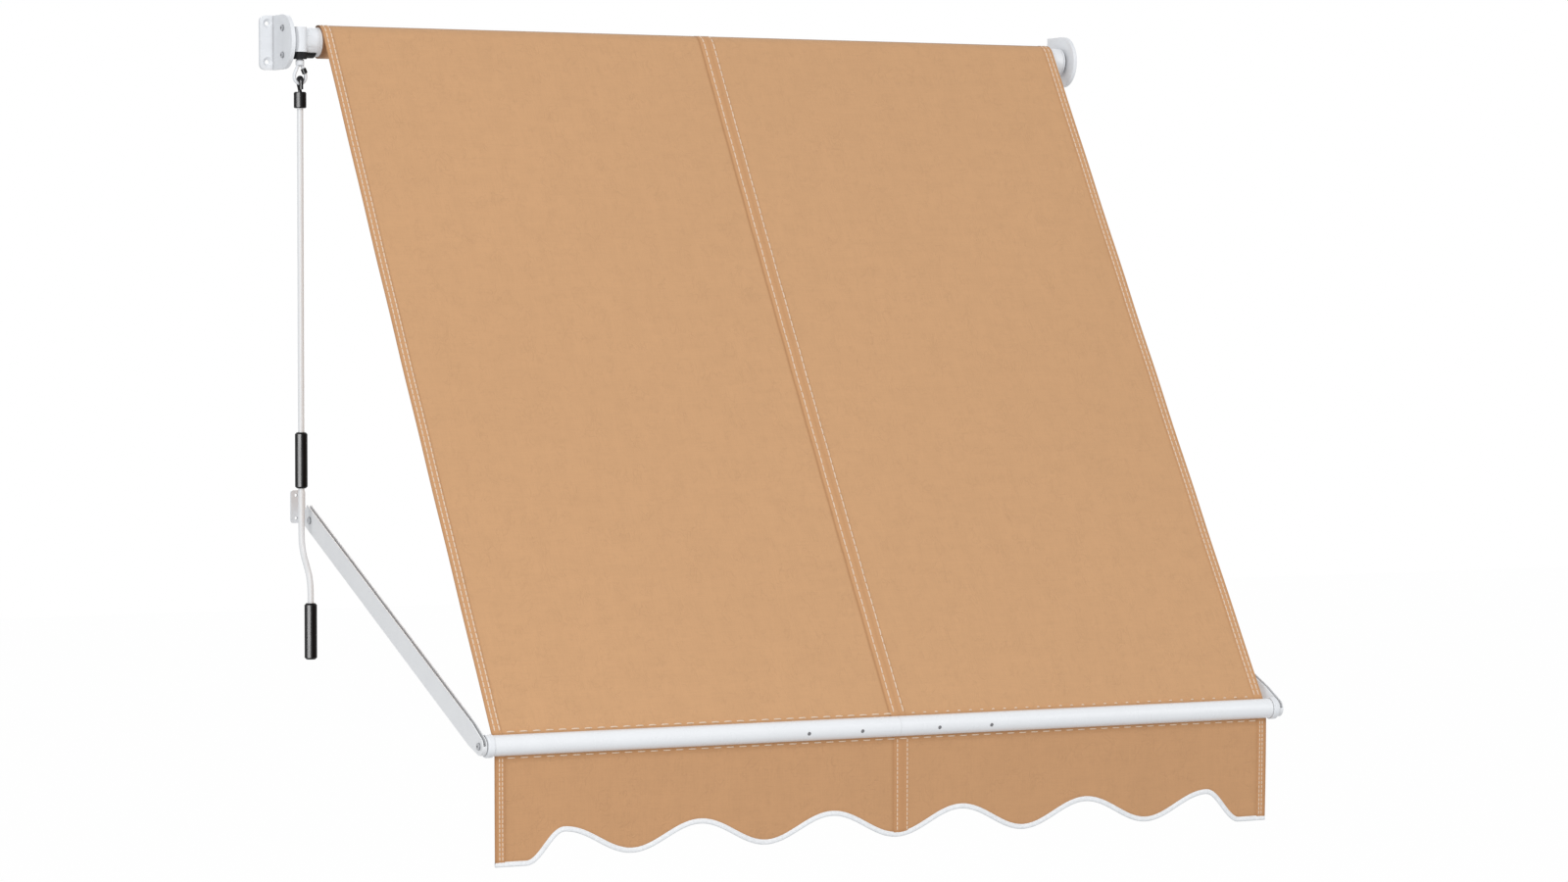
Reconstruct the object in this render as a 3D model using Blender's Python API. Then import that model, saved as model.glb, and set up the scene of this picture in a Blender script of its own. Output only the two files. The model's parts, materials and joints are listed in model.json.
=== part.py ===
"""Window awning on drop arms: wall brackets, crank gearbox, cloth roller, arms, front bar, canopy and valance.

Metres. The wall is the plane Y = 0 and the awning stands out along -Y. +X runs along the roller, +Z is up.
The origin lies on the wall, midway between the cloth's edges, at the height of the roller's axis.
"""
import math

import bmesh
import bpy
from mathutils import Matrix, Vector

# Driving dimensions
CLOTH_WIDTH = 1.200
CLOTH_THICK = 0.0008
HEM_WIDTH = 0.014
ROLL_SHIFT = 0.0115
SEAM_WIDTH = 0.022
SEAM_MIDDLE = 0.004
ROLLER_OFFSET = 0.045
TUBE_RADIUS = 0.021
TUBE_WALL = 0.0014
ROLL_TURNS = 3
PIVOT_OFFSET = 0.035
PIVOT_DROP = 0.685
ARM_LENGTH = 0.6806
ARM_ANGLE = math.radians(23.29)
ARM_HEIGHT = 0.032
ARM_WIDTH = 0.007
ARM_WALL = 0.0015
ARM_TAIL = 0.020
ARM_TAPER = 0.034
ARM_NOSE = 0.0125
BAR_RADIUS = 0.014
BAR_WALL = 0.0015
BAR_CAP_RADIUS = 0.0157
BAR_CAP_THICK = 0.0100
BAR_OVERHANG = 0.0045
VALANCE_DROP = 0.1574
SCALLOP_DEPTH = 0.034
SCALLOP_COUNT = 6
SCALLOP_FOOT = 0.045
FOOT_DROP = 0.0085
EDGING_HALF_HEIGHT = 0.0034
EDGING_HALF_THICK = 0.0020
GAP = 0.0003

# Grooves and the cords that hold the cloth in them
CORD_RADIUS = 0.0029
GROOVE_RADIUS = CORD_RADIUS + GAP
GROOVE_WALL = 0.0012
GROOVE_SLOT = 0.0030
GROOVE_DEPTH = GROOVE_RADIUS + 0.0023

# Bar joint: an inner sleeve and the screws that hold the two halves on it
SLEEVE_LENGTH = 0.310
BAR_SCREW_INNER = 0.060
BAR_SCREW_OUTER = SLEEVE_LENGTH / 2 - 0.013
BAR_SCREW_RADIUS = 0.0016
BAR_SCREW_HEAD = 0.0024
BAR_SCREW_ANGLE = math.radians(193.0)

# Brackets
PLATE_THICK = 0.006
PLATE_HALF_HEIGHT = 0.039
PLATE_DEPTH = 0.082
FLANGE_WIDTH = 0.020
FLANGE_THICK = 0.006
FLANGE_CORNER = 0.008
WALL_HOLE_RADIUS = 0.0032
WALL_HOLE_SINK = 0.0070
WALL_HOLE_HEIGHT = 0.0275
EDGE_ROUND = 0.0012

# Gearbox
GEAR_SPACE = 0.058
GEARBOX_RADIUS = 0.0215
GEARBOX_WALL = 0.0045
COVER_THICK = 0.0014
COVER_HALF_TURN = math.radians(42)
COVER_RIBS = 16
WHEEL_TEETH = 13
TOOTH_MODULE = 0.0020
WHEEL_WIDTH = 0.009
WHEEL_RADIUS = WHEEL_TEETH * TOOTH_MODULE / 2
WORM_RADIUS = 0.005
WORM_PITCH = math.pi * TOOTH_MODULE
WORM_LENGTH = 0.026
WORM_INSET = 0.013
ADDENDUM = 0.0018
DEDENDUM = 0.0023
BACKLASH = 0.0005
WORM_BORE_WALL = 0.0021
SHAFT_RADIUS = 0.0040
HUB_RADIUS = 0.0080
DRIVE_SQUARE = 0.0090
GEAR_SCREW_RADIUS = 0.0014
GEAR_SCREW_HEAD = 0.0045
GEAR_SCREW_LENGTH = 0.016

# Idle end
IDLE_SPACE = 0.0175
IDLE_PIN_RADIUS = 0.0060
BUSH_WALL = 0.0025
PLUG_FLANGE = 0.0025
PLUG_LENGTH = 0.030

# Winding eye and crank
EYE_WIRE = 0.0025
EYE_HALF_WIDTH = 0.0085
EYE_HEIGHT = 0.0250
EYE_CROWN = 0.0026
EYE_SHOULDER = 0.0125
EYE_COLLAR_RADIUS = 0.0062
EYE_COLLAR_LENGTH = 0.0090
EYE_SLEEVE_WALL = 0.0012
HOOK_WIRE = 0.0027
HOOK_BEND = 0.0057
HOOK_SWELL = 0.0016
HOOK_STEM = 0.0160
COUPLER_RADIUS = 0.0090
COUPLER_LENGTH = 0.0230
ROD_RADIUS = 0.0045
ROD_SET_IN = 0.0120
GRIP_RADIUS = 0.0090
GRIP_LENGTH = 0.0800
UPPER_GRIP_DROP = 0.557
BEND_DROP = 0.722
BEND_HEIGHT = 0.044
BEND_OFFSET = 0.036
BEND_ROUND = 0.020
LOWER_GRIP_DROP = 0.799

# Arm brackets and pins
ARM_FLANGE = 0.0200
ARM_PLATE_HEIGHT = 0.0475
ARM_PLATE_THICK = 0.004
ARM_PLATE_RISE = 0.019
ARM_PLATE_CORNER = 0.004
ARM_HOLE_RADIUS = 0.0024
ARM_HOLE_X = 0.0123
ARM_HOLE_Z = 0.0165
LUG_RADIUS = 0.0100
LUG_HALF_HEIGHT = 0.0090
PIN_RADIUS = 0.0029
PIN_HEAD_RADIUS = 0.0052
PIN_HEAD_THICK = 0.0022
WEB_START = 0.010
SOCKET_RADIUS = 0.0018
SOCKET_DEPTH = 0.0014

# Places worked out from the dimensions above
HALF_WIDTH = CLOTH_WIDTH / 2
ROLLER_Y = -ROLLER_OFFSET
ROLL_RADIUS = TUBE_RADIUS + GAP + ROLL_TURNS * CLOTH_THICK
PIVOT_Y = -PIVOT_OFFSET
PIVOT_Z = -PIVOT_DROP
BAR_Y = PIVOT_Y - ARM_LENGTH * math.cos(ARM_ANGLE)
BAR_Z = PIVOT_Z - ARM_LENGTH * math.sin(ARM_ANGLE)
BAR_END = HALF_WIDTH + BAR_OVERHANG
ARM_X = BAR_END + BAR_CAP_THICK + 2 * GAP + ARM_WIDTH / 2
GEAR_PLATE_X = -(HALF_WIDTH + GEAR_SPACE)
IDLE_PLATE_X = HALF_WIDTH + IDLE_SPACE
WORM_X = GEAR_PLATE_X + WORM_INSET
WORM_Y = ROLLER_Y - WHEEL_RADIUS - WORM_RADIUS
TOWER_RADIUS = WORM_RADIUS + ADDENDUM + 2 * BACKLASH + WORM_BORE_WALL
TOWER_FOOT = -(GEARBOX_RADIUS + 0.0040)
TUBE_START = -(HALF_WIDTH + 0.0150)
TUBE_END = HALF_WIDTH + 0.0090
GEARBOX_START = GEAR_PLATE_X + GAP
GEARBOX_END = TUBE_START - PLUG_FLANGE - 2 * GAP

# The canopy lies on the tangent from the roll to the bar's axis
CLOTH_OFFSET = ROLL_RADIUS + GAP + CLOTH_THICK
BAR_DISTANCE = math.hypot(BAR_Y - ROLLER_Y, BAR_Z)
CANOPY_REACH = math.sqrt(BAR_DISTANCE**2 - CLOTH_OFFSET**2)
CANOPY_ANGLE = -math.atan2(ROLLER_Y - BAR_Y, -BAR_Z) + math.asin(CLOTH_OFFSET / BAR_DISTANCE)
CANOPY_GROOVE = math.pi / 2 + CANOPY_ANGLE
VALANCE_GROOVE = -math.pi / 2

# Colours as linear red, green, blue, with roughness and metallic value
FINISHES = {
    "white_paint": ((0.80, 0.80, 0.82), 0.35, 0.0),
    "white_cast": ((0.76, 0.76, 0.77), 0.45, 0.0),
    "black_plastic": ((0.015, 0.015, 0.016), 0.38, 0.0),
    "zinc_steel": ((0.55, 0.56, 0.58), 0.35, 1.0),
    "brass_gear": ((0.70, 0.50, 0.20), 0.35, 1.0),
    "tan_cloth": ((0.62, 0.37, 0.18), 0.90, 0.0),
    "white_edging": ((0.82, 0.82, 0.82), 0.80, 0.0),
}


def clear_scene():
    """Remove every object of the open scene."""
    for item in list(bpy.data.objects):
        bpy.data.objects.remove(item, do_unlink=True)


def finish(name):
    """The material of that name, made on first use."""
    found = bpy.data.materials.get(name)
    if found:
        return found
    colour, roughness, metallic = FINISHES[name]
    made = bpy.data.materials.new(name)
    made.use_nodes = True
    shader = made.node_tree.nodes["Principled BSDF"]
    shader.inputs["Base Color"].default_value = (*colour, 1.0)
    shader.inputs["Roughness"].default_value = roughness
    shader.inputs["Metallic"].default_value = metallic
    made.diffuse_color = (*colour, 1.0)
    return made


def empty(name, location, turn=0.0, parent=None):
    """An empty that stands on a joint's axis, turned about X."""
    made = bpy.data.objects.new(name, None)
    bpy.context.scene.collection.objects.link(made)
    made.location = location
    made.rotation_euler = (turn, 0.0, 0.0)
    made.parent = parent
    return made


def place(name, shape, material, location=(0, 0, 0), parent=None, crease=35.0):
    """Turn a bmesh into a named object with its own finish."""
    bmesh.ops.recalc_face_normals(shape, faces=shape.faces[:])
    mesh = bpy.data.meshes.new(name)
    shape.to_mesh(mesh)
    shape.free()
    mesh.shade_smooth()
    mesh.set_sharp_from_angle(angle=math.radians(crease))
    made = bpy.data.objects.new(name, mesh)
    bpy.context.scene.collection.objects.link(made)
    made.location = location
    made.parent = parent
    mesh.materials.append(finish(material))
    return made


def arc(centre, radius, start, end, steps):
    """Points on an arc, from the start angle to the end angle, both included."""
    angles = [start + (end - start) * i / steps for i in range(steps + 1)]
    return [(centre[0] + radius * math.cos(a), centre[1] + radius * math.sin(a)) for a in angles]


def rounded_rectangle(low, high, radius, steps=4):
    """Outline of a rectangle between two corners, with round corners."""
    corners = (
        ((high[0] - radius, high[1] - radius), 0.0),
        ((low[0] + radius, high[1] - radius), math.pi / 2),
        ((low[0] + radius, low[1] + radius), math.pi),
        ((high[0] - radius, low[1] + radius), 1.5 * math.pi),
    )
    points = []
    for centre, start in corners:
        points += arc(centre, radius, start, start + math.pi / 2, steps)
    return points


def prism(loops, start, end, axis="X"):
    """Solid between two planes, with the outline loops[0] and the holes loops[1:].

    On axis X the outline's points are (y, z), on Y they are (x, z) and on Z they are (x, y).
    """
    shape = bmesh.new()
    edges = []
    for loop in loops:
        ring = [shape.verts.new((p[0], p[1], start)) for p in loop]
        edges += [shape.edges.new((a, b)) for a, b in zip(ring, ring[1:] + ring[:1])]
    bmesh.ops.triangle_fill(shape, use_beauty=True, use_dissolve=False, edges=edges)
    pushed = bmesh.ops.extrude_face_region(shape, geom=shape.faces[:], use_keep_orig=True)
    moved = [v for v in pushed["geom"] if isinstance(v, bmesh.types.BMVert)]
    bmesh.ops.translate(shape, verts=moved, vec=(0, 0, end - start))
    turn = {
        "X": Matrix(((0, 0, 1, 0), (1, 0, 0, 0), (0, 1, 0, 0), (0, 0, 0, 1))),
        "Y": Matrix(((1, 0, 0, 0), (0, 0, 1, 0), (0, 1, 0, 0), (0, 0, 0, 1))),
        "Z": Matrix.Identity(4),
    }
    bmesh.ops.transform(shape, matrix=turn[axis], verts=shape.verts[:])
    return shape


def turned(profile, axis="X", segments=32):
    """Solid of revolution. The profile lists (distance along the axis, radius), closed by its ends on the axis."""
    shape = bmesh.new()
    ends = []
    rings = []
    for along, radius in profile:
        if radius <= 0.0:
            ends.append((len(rings), shape.verts.new((0, 0, along))))
            continue
        points = arc((0.0, 0.0), radius, 0.0, 2 * math.pi, segments)[:-1]
        rings.append([shape.verts.new((x, y, along)) for x, y in points])
    for lower, upper in zip(rings, rings[1:]):
        bridge(shape, lower, upper)
    if ends:
        for index, tip in ends:
            ring = rings[0] if index == 0 else rings[-1]
            for a, b in zip(ring, ring[1:] + ring[:1]):
                shape.faces.new((a, b, tip))
    else:
        bridge(shape, rings[-1], rings[0])
    turn = {
        "X": Matrix(((0, 0, 1, 0), (1, 0, 0, 0), (0, 1, 0, 0), (0, 0, 0, 1))),
        "Z": Matrix.Identity(4),
    }
    bmesh.ops.transform(shape, matrix=turn[axis], verts=shape.verts[:])
    return shape


def bridge(shape, lower, upper):
    """Faces between two rings of the same length."""
    count = len(lower)
    for i in range(count):
        j = (i + 1) % count
        shape.faces.new((lower[i], lower[j], upper[j], upper[i]))


def swept(points, radius, sides=12, closed=False, depth=1.0, swell=None):
    """Bar along a path that lies in a plane of constant x or y. The path's ends are flat.

    Its section is round, or an oval whose size across the path's plane is the given share of its size in the plane.
    The swell, if it is given, is what each point's radius grows by.
    """
    shape = bmesh.new()
    path = [Vector(p) for p in points]
    count = len(path)
    spread = [max(p[i] for p in path) - min(p[i] for p in path) for i in (0, 1)]
    side = Vector((0, 1, 0)) if spread[1] < spread[0] else Vector((1, 0, 0))
    rings = []
    for i, here in enumerate(path):
        before = path[(i - 1) % count] if closed or i else here
        after = path[(i + 1) % count] if closed or i < count - 1 else here
        tangent = (after - before).normalized()
        inner = (here - before).normalized() if (here - before).length else tangent
        stretch = 1.0 / max(inner.dot(tangent), 0.5)
        other = side.cross(tangent).normalized()
        ring = []
        for k in range(sides):
            angle = 2 * math.pi * k / sides
            offset = side * (math.cos(angle) * depth) + other * (math.sin(angle) * stretch)
            ring.append(shape.verts.new(here + offset * (radius + (swell[i] if swell else 0.0))))
        rings.append(ring)
    for lower, upper in zip(rings, rings[1:]):
        bridge(shape, lower, upper)
    if closed:
        bridge(shape, rings[-1], rings[0])
    else:
        shape.faces.new(rings[0])
        shape.faces.new(rings[-1])
    return shape


def guide(name, shape, parent=None):
    """A cutting or adding shape that isn't part of the awning."""
    made = place(name, shape, "zinc_steel", parent=parent)
    made.hide_render = True
    made.display_type = "WIRE"
    return made


def combine(target, tool, operation):
    """Add a Boolean modifier to the target."""
    step = target.modifiers.new(f"{operation.lower()}_{tool.name}", "BOOLEAN")
    step.operation = operation
    step.object = tool
    step.solver = "EXACT"


def rod(start, end, radius, axis="X", segments=24, centre=(0.0, 0.0, 0.0)):
    """Plain cylinder between two places on an axis through the centre."""
    shape = turned([(start, 0.0), (start, radius), (end, radius), (end, 0.0)], axis, segments)
    bmesh.ops.translate(shape, verts=shape.verts[:], vec=centre)
    return shape


def grooved_tube(radius, wall, grooves, slack=0.0):
    """Outer and inner outline of a tube whose wall has keyhole grooves at the given angles.

    With slack, the inner outline is drawn that much smaller, for what slides into the tube.
    """
    centre_distance = radius - GROOVE_DEPTH
    slot_turn = math.asin(GROOVE_SLOT / 2 / radius)
    key_turn = math.asin(GROOVE_SLOT / 2 / GROOVE_RADIUS)
    order = sorted(a % (2 * math.pi) for a in grooves)
    outer = []
    inner = []
    inner_radius = radius - wall - slack
    bulge = GROOVE_RADIUS + GROOVE_WALL + slack
    meet = (centre_distance**2 + inner_radius**2 - bulge**2) / (2 * centre_distance * inner_radius)
    meet_turn = math.acos(meet)
    for here, after in zip(order, order[1:] + [order[0] + 2 * math.pi]):
        centre = (centre_distance * math.cos(here), centre_distance * math.sin(here))
        outer += arc(centre, GROOVE_RADIUS, here - key_turn, here + key_turn - 2 * math.pi, 12)
        steps = max(4, round((after - here) * 7))
        outer += arc((0, 0), radius, here + slot_turn, after - slot_turn, steps)
        edge = (inner_radius * math.cos(here + meet_turn), inner_radius * math.sin(here + meet_turn))
        away = math.atan2(edge[1] - centre[1], edge[0] - centre[0])
        swing = (away - here) % (2 * math.pi)
        inner += arc(centre, bulge, here - swing, here + swing - 2 * math.pi, 10)
        inner += arc((0, 0), inner_radius, here + meet_turn, after - meet_turn, steps)[1:-1]
    return outer, inner


def hex_socket(name, place_x, depth, axis_y, axis_z, parent=None):
    """Cutter for a six-sided key hole in a screw's head, sunk along X."""
    outline = arc((axis_y, axis_z), SOCKET_RADIUS, 0.0, 2 * math.pi, 6)[:-1]
    low, high = sorted((place_x, place_x + depth))
    return guide(name, prism([outline], low, high, "X"), parent)


def bracket(name, inner_x, side, bore):
    """Roller bracket: a D-shaped plate square to the wall, and a flange on the wall with two screw holes."""
    centre_y = -(PLATE_DEPTH - PLATE_HALF_HEIGHT)
    plate = [(0.0, PLATE_HALF_HEIGHT)]
    plate += arc((centre_y, 0.0), PLATE_HALF_HEIGHT, math.pi / 2, 1.5 * math.pi, 20)
    plate += [(0.0, -PLATE_HALF_HEIGHT)]
    outer_x = inner_x + side * PLATE_THICK
    body = place(name, prism([plate], min(inner_x, outer_x), max(inner_x, outer_x), "X"), "white_cast")
    rim = body.modifiers.new("edge_round", "BEVEL")
    rim.width = EDGE_ROUND
    rim.segments = 2
    rim.angle_limit = math.radians(40)
    far_x = outer_x + side * FLANGE_WIDTH
    low = (min(inner_x, far_x), -PLATE_HALF_HEIGHT)
    high = (max(inner_x, far_x), PLATE_HALF_HEIGHT)
    flange = guide(f"{name}_flange", prism([rounded_rectangle(low, high, FLANGE_CORNER)], -FLANGE_THICK, 0.0, "Y"))
    combine(body, flange, "UNION")
    hole_x = outer_x + side * FLANGE_WIDTH * 0.42
    for sign, word in ((1, "upper"), (-1, "lower")):
        sunk = [(-2 * FLANGE_THICK, 0.0), (-2 * FLANGE_THICK, WALL_HOLE_SINK), (-FLANGE_THICK, WALL_HOLE_SINK)]
        sunk += [(-FLANGE_THICK + WALL_HOLE_SINK - WALL_HOLE_RADIUS, WALL_HOLE_RADIUS)]
        sunk += [(FLANGE_THICK, WALL_HOLE_RADIUS), (FLANGE_THICK, 0.0)]
        cut = turned(sunk, "Z", 20)
        bmesh.ops.rotate(cut, verts=cut.verts[:], matrix=Matrix.Rotation(-math.pi / 2, 3, "X"))
        bmesh.ops.translate(cut, verts=cut.verts[:], vec=(hole_x, 0.0, sign * WALL_HOLE_HEIGHT))
        combine(body, guide(f"{name}_wall_hole_{word}", cut), "DIFFERENCE")
    for number, (y, z, radius) in enumerate(bore):
        reach = (inner_x - 0.02, inner_x + 0.02)
        hole = rod(*reach, radius, "X", 24, (0.0, y, z))
        combine(body, guide(f"{name}_bore_{number}", hole), "DIFFERENCE")
    return body


def gearbox():
    """Housing round the worm and its wheel, with the two screws that hold it to the bracket."""
    outer = rod(GEARBOX_START, GEARBOX_END, GEARBOX_RADIUS, "X", 40, (0.0, ROLLER_Y, 0.0))
    body = place("gear_housing", outer, "white_cast")
    tower_radius = TOWER_RADIUS
    tower_top = WORM_LENGTH / 2 + 0.0070
    tower_base = -WORM_LENGTH / 2 - 0.0025
    tower = rod(tower_base, tower_top, tower_radius, "Z", 28, (WORM_X, WORM_Y, 0.0))
    combine(body, guide("gear_housing_tower", tower), "UNION")
    wheel_room = GEARBOX_RADIUS - GEARBOX_WALL
    room = rod(GEARBOX_START - 0.01, GEARBOX_END - GEARBOX_WALL, wheel_room, "X", 36, (0.0, ROLLER_Y, 0.0))
    combine(body, guide("gear_housing_room", room), "DIFFERENCE")
    worm_room = WORM_LENGTH / 2 + 0.0015
    bore = rod(-worm_room, worm_room, tower_radius - WORM_BORE_WALL, "Z", 24, (WORM_X, WORM_Y, 0.0))
    combine(body, guide("gear_housing_worm_room", bore), "DIFFERENCE")
    shaft_hole = rod(tower_base - 0.01, tower_top - 0.0020, SHAFT_RADIUS + GAP, "Z", 24, (WORM_X, WORM_Y, 0.0))
    combine(body, guide("gear_housing_shaft_hole", shaft_hole), "DIFFERENCE")
    hub_hole = rod(GEARBOX_END - 0.02, GEARBOX_END + 0.01, HUB_RADIUS + GAP, "X", 28, (0.0, ROLLER_Y, 0.0))
    combine(body, guide("gear_housing_hub_hole", hub_hole), "DIFFERENCE")
    screw_height = GEARBOX_RADIUS - GEARBOX_WALL / 2
    outer_x = GEAR_PLATE_X - PLATE_THICK
    for sign, word in ((1, "upper"), (-1, "lower")):
        z = sign * screw_height
        hole = rod(GEARBOX_START - 0.01, outer_x + GEAR_SCREW_LENGTH + 0.001, GEAR_SCREW_RADIUS + GAP, "X", 14, (0.0, ROLLER_Y, z))
        combine(body, guide(f"gear_housing_screw_hole_{word}", hole), "DIFFERENCE")
        head = outer_x - GAP
        profile = [
            (head - 0.0024, 0.0),
            (head - 0.0024, GEAR_SCREW_HEAD - 0.0006),
            (head - 0.0018, GEAR_SCREW_HEAD),
            (head, GEAR_SCREW_HEAD),
            (head, GEAR_SCREW_RADIUS),
            (outer_x + GEAR_SCREW_LENGTH, GEAR_SCREW_RADIUS),
            (outer_x + GEAR_SCREW_LENGTH, 0.0),
        ]
        shape = turned(profile, "X", 18)
        bmesh.ops.translate(shape, verts=shape.verts[:], vec=(0.0, ROLLER_Y, z))
        screw = place(f"gearbox_screw_{word}", shape, "zinc_steel")
        socket = hex_socket(f"gearbox_socket_{word}", head - 0.0034, 0.001 + SOCKET_DEPTH, ROLLER_Y, z)
        combine(screw, socket, "DIFFERENCE")


def gear_cover():
    """Curved black cover with ribs round it, under the gear housing, and the fluted ring under the worm's tower."""
    start = GEAR_PLATE_X + 4 * GAP
    end = GEARBOX_END - 0.0010
    inner = GEARBOX_RADIUS + GAP
    outer = inner + COVER_THICK
    low = -math.pi / 2 - COVER_HALF_TURN
    high = -math.pi / 2 + COVER_HALF_TURN
    outline = arc((ROLLER_Y, 0.0), outer, low, high, 14) + arc((ROLLER_Y, 0.0), inner, high, low, 14)
    body = place("gear_cover", prism([outline], start, end, "X"), "black_plastic")
    step = (end - start) / COVER_RIBS
    groove = arc((ROLLER_Y, 0.0), outer + 0.001, low - 0.2, high + 0.2, 14)
    groove += arc((ROLLER_Y, 0.0), outer - COVER_THICK * 0.45, high + 0.2, low - 0.2, 14)
    for number in range(COVER_RIBS - 1):
        middle = start + (number + 1) * step
        shape = prism([groove], middle - step * 0.22, middle + step * 0.22, "X")
        combine(body, guide(f"gear_cover_groove_{number}", shape), "DIFFERENCE")
    flutes = 32
    centre = (WORM_X, WORM_Y)
    around = []
    for k in range(flutes):
        reach = TOWER_RADIUS - (0.0007 if k % 2 else 0.0)
        angle = 2 * math.pi * k / flutes
        around.append((centre[0] + reach * math.cos(angle), centre[1] + reach * math.sin(angle)))
    ring_top = -WORM_LENGTH / 2 - 0.0025 - GAP
    combine(body, guide("gear_cover_ring", prism([around], TOWER_FOOT, ring_top, "Z")), "UNION")
    room = rod(GEAR_PLATE_X - 0.01, GEARBOX_END + 0.01, inner, "X", 40, (0.0, ROLLER_Y, 0.0))
    combine(body, guide("gear_cover_room", room), "DIFFERENCE")
    tower = rod(ring_top, 0.0, TOWER_RADIUS + GAP, "Z", 28, (WORM_X, WORM_Y, 0.0))
    combine(body, guide("gear_cover_tower_room", tower), "DIFFERENCE")
    bore = rod(TOWER_FOOT - 0.01, 0.0, SHAFT_RADIUS + GAP, "Z", 24, (WORM_X, WORM_Y, 0.0))
    combine(body, guide("gear_cover_bore", bore), "DIFFERENCE")


def worm_wheel():
    """Wheel with slanted teeth, a hub that runs in the housing and a square hole for the roller's drive."""
    slant = math.atan(WORM_PITCH / (2 * math.pi * WORM_RADIUS))
    layers = 3
    tip = WHEEL_RADIUS + ADDENDUM
    root = WHEEL_RADIUS - DEDENDUM
    width = WORM_PITCH / 2 - BACKLASH
    flank = math.tan(math.radians(20))
    shape = bmesh.new()
    rings = []
    for layer in range(layers + 1):
        along = WHEEL_WIDTH * (layer / layers - 0.5)
        twist = along * math.tan(slant) / WHEEL_RADIUS
        ring = []
        for tooth in range(WHEEL_TEETH):
            middle = math.pi + 2 * math.pi * tooth / WHEEL_TEETH + twist
            foot = (width / 2 + DEDENDUM * flank) / root
            top = (width / 2 - ADDENDUM * flank) / tip
            for turn, radius in ((-foot, root), (-top, tip), (top, tip), (foot, root)):
                angle = middle + turn
                ring.append(shape.verts.new((along, radius * math.cos(angle), radius * math.sin(angle))))
        rings.append(ring)
    for lower, upper in zip(rings, rings[1:]):
        bridge(shape, lower, upper)
    shape.faces.new(rings[0])
    shape.faces.new(rings[-1])
    bmesh.ops.translate(shape, verts=shape.verts[:], vec=(WORM_X, ROLLER_Y, 0.0))
    wheel = place("worm_wheel", shape, "brass_gear", crease=20.0)
    hub = rod(WORM_X, GEARBOX_END + GAP, HUB_RADIUS, "X", 28, (0.0, ROLLER_Y, 0.0))
    combine(wheel, guide("worm_wheel_hub", hub), "UNION")
    half = DRIVE_SQUARE / 2 + GAP
    square = [(ROLLER_Y - half, -half), (ROLLER_Y + half, -half), (ROLLER_Y + half, half), (ROLLER_Y - half, half)]
    hole = prism([square], GEAR_PLATE_X, TUBE_START, "X")
    combine(wheel, guide("worm_wheel_square", hole), "DIFFERENCE")


def worm_shaft():
    """Single-start worm on its shaft. The thread's height depends on the turn and on the place along the axis."""
    around = 16
    per_pitch = 8
    rows = round(WORM_LENGTH / WORM_PITCH * per_pitch)
    flank = math.tan(math.radians(20))
    half_tooth = WORM_PITCH / 4 - BACKLASH / 2
    root = WORM_RADIUS - DEDENDUM
    shape = bmesh.new()
    rings = []
    for row in range(rows + 1):
        z = WORM_LENGTH * (row / rows - 0.5)
        ring = []
        for k in range(around):
            angle = 2 * math.pi * k / around
            phase = (z / WORM_PITCH - (angle - math.pi / 2) / (2 * math.pi)) % 1.0
            distance = abs(phase - 0.5) * WORM_PITCH
            rise = (half_tooth - distance) / flank
            radius = max(root, min(WORM_RADIUS + ADDENDUM, WORM_RADIUS + rise))
            ring.append(shape.verts.new((radius * math.cos(angle), radius * math.sin(angle), z)))
        rings.append(ring)
    for lower, upper in zip(rings, rings[1:]):
        bridge(shape, lower, upper)
    shape.faces.new(rings[0])
    shape.faces.new(rings[-1])
    bmesh.ops.translate(shape, verts=shape.verts[:], vec=(WORM_X, WORM_Y, 0.0))
    worm = place("worm_shaft", shape, "zinc_steel", crease=50.0)
    top = WORM_LENGTH / 2 + 0.0045
    lower_end = TOWER_FOOT - EYE_COLLAR_LENGTH + 0.0030
    lower = rod(lower_end, -WORM_LENGTH / 2 + 0.001, SHAFT_RADIUS, "Z", 20, (WORM_X, WORM_Y, 0.0))
    combine(worm, guide("worm_lower_journal", lower), "UNION")
    upper = rod(WORM_LENGTH / 2 - 0.001, top, SHAFT_RADIUS, "Z", 20, (WORM_X, WORM_Y, 0.0))
    combine(worm, guide("worm_upper_journal", upper), "UNION")
    return TOWER_FOOT


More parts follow.
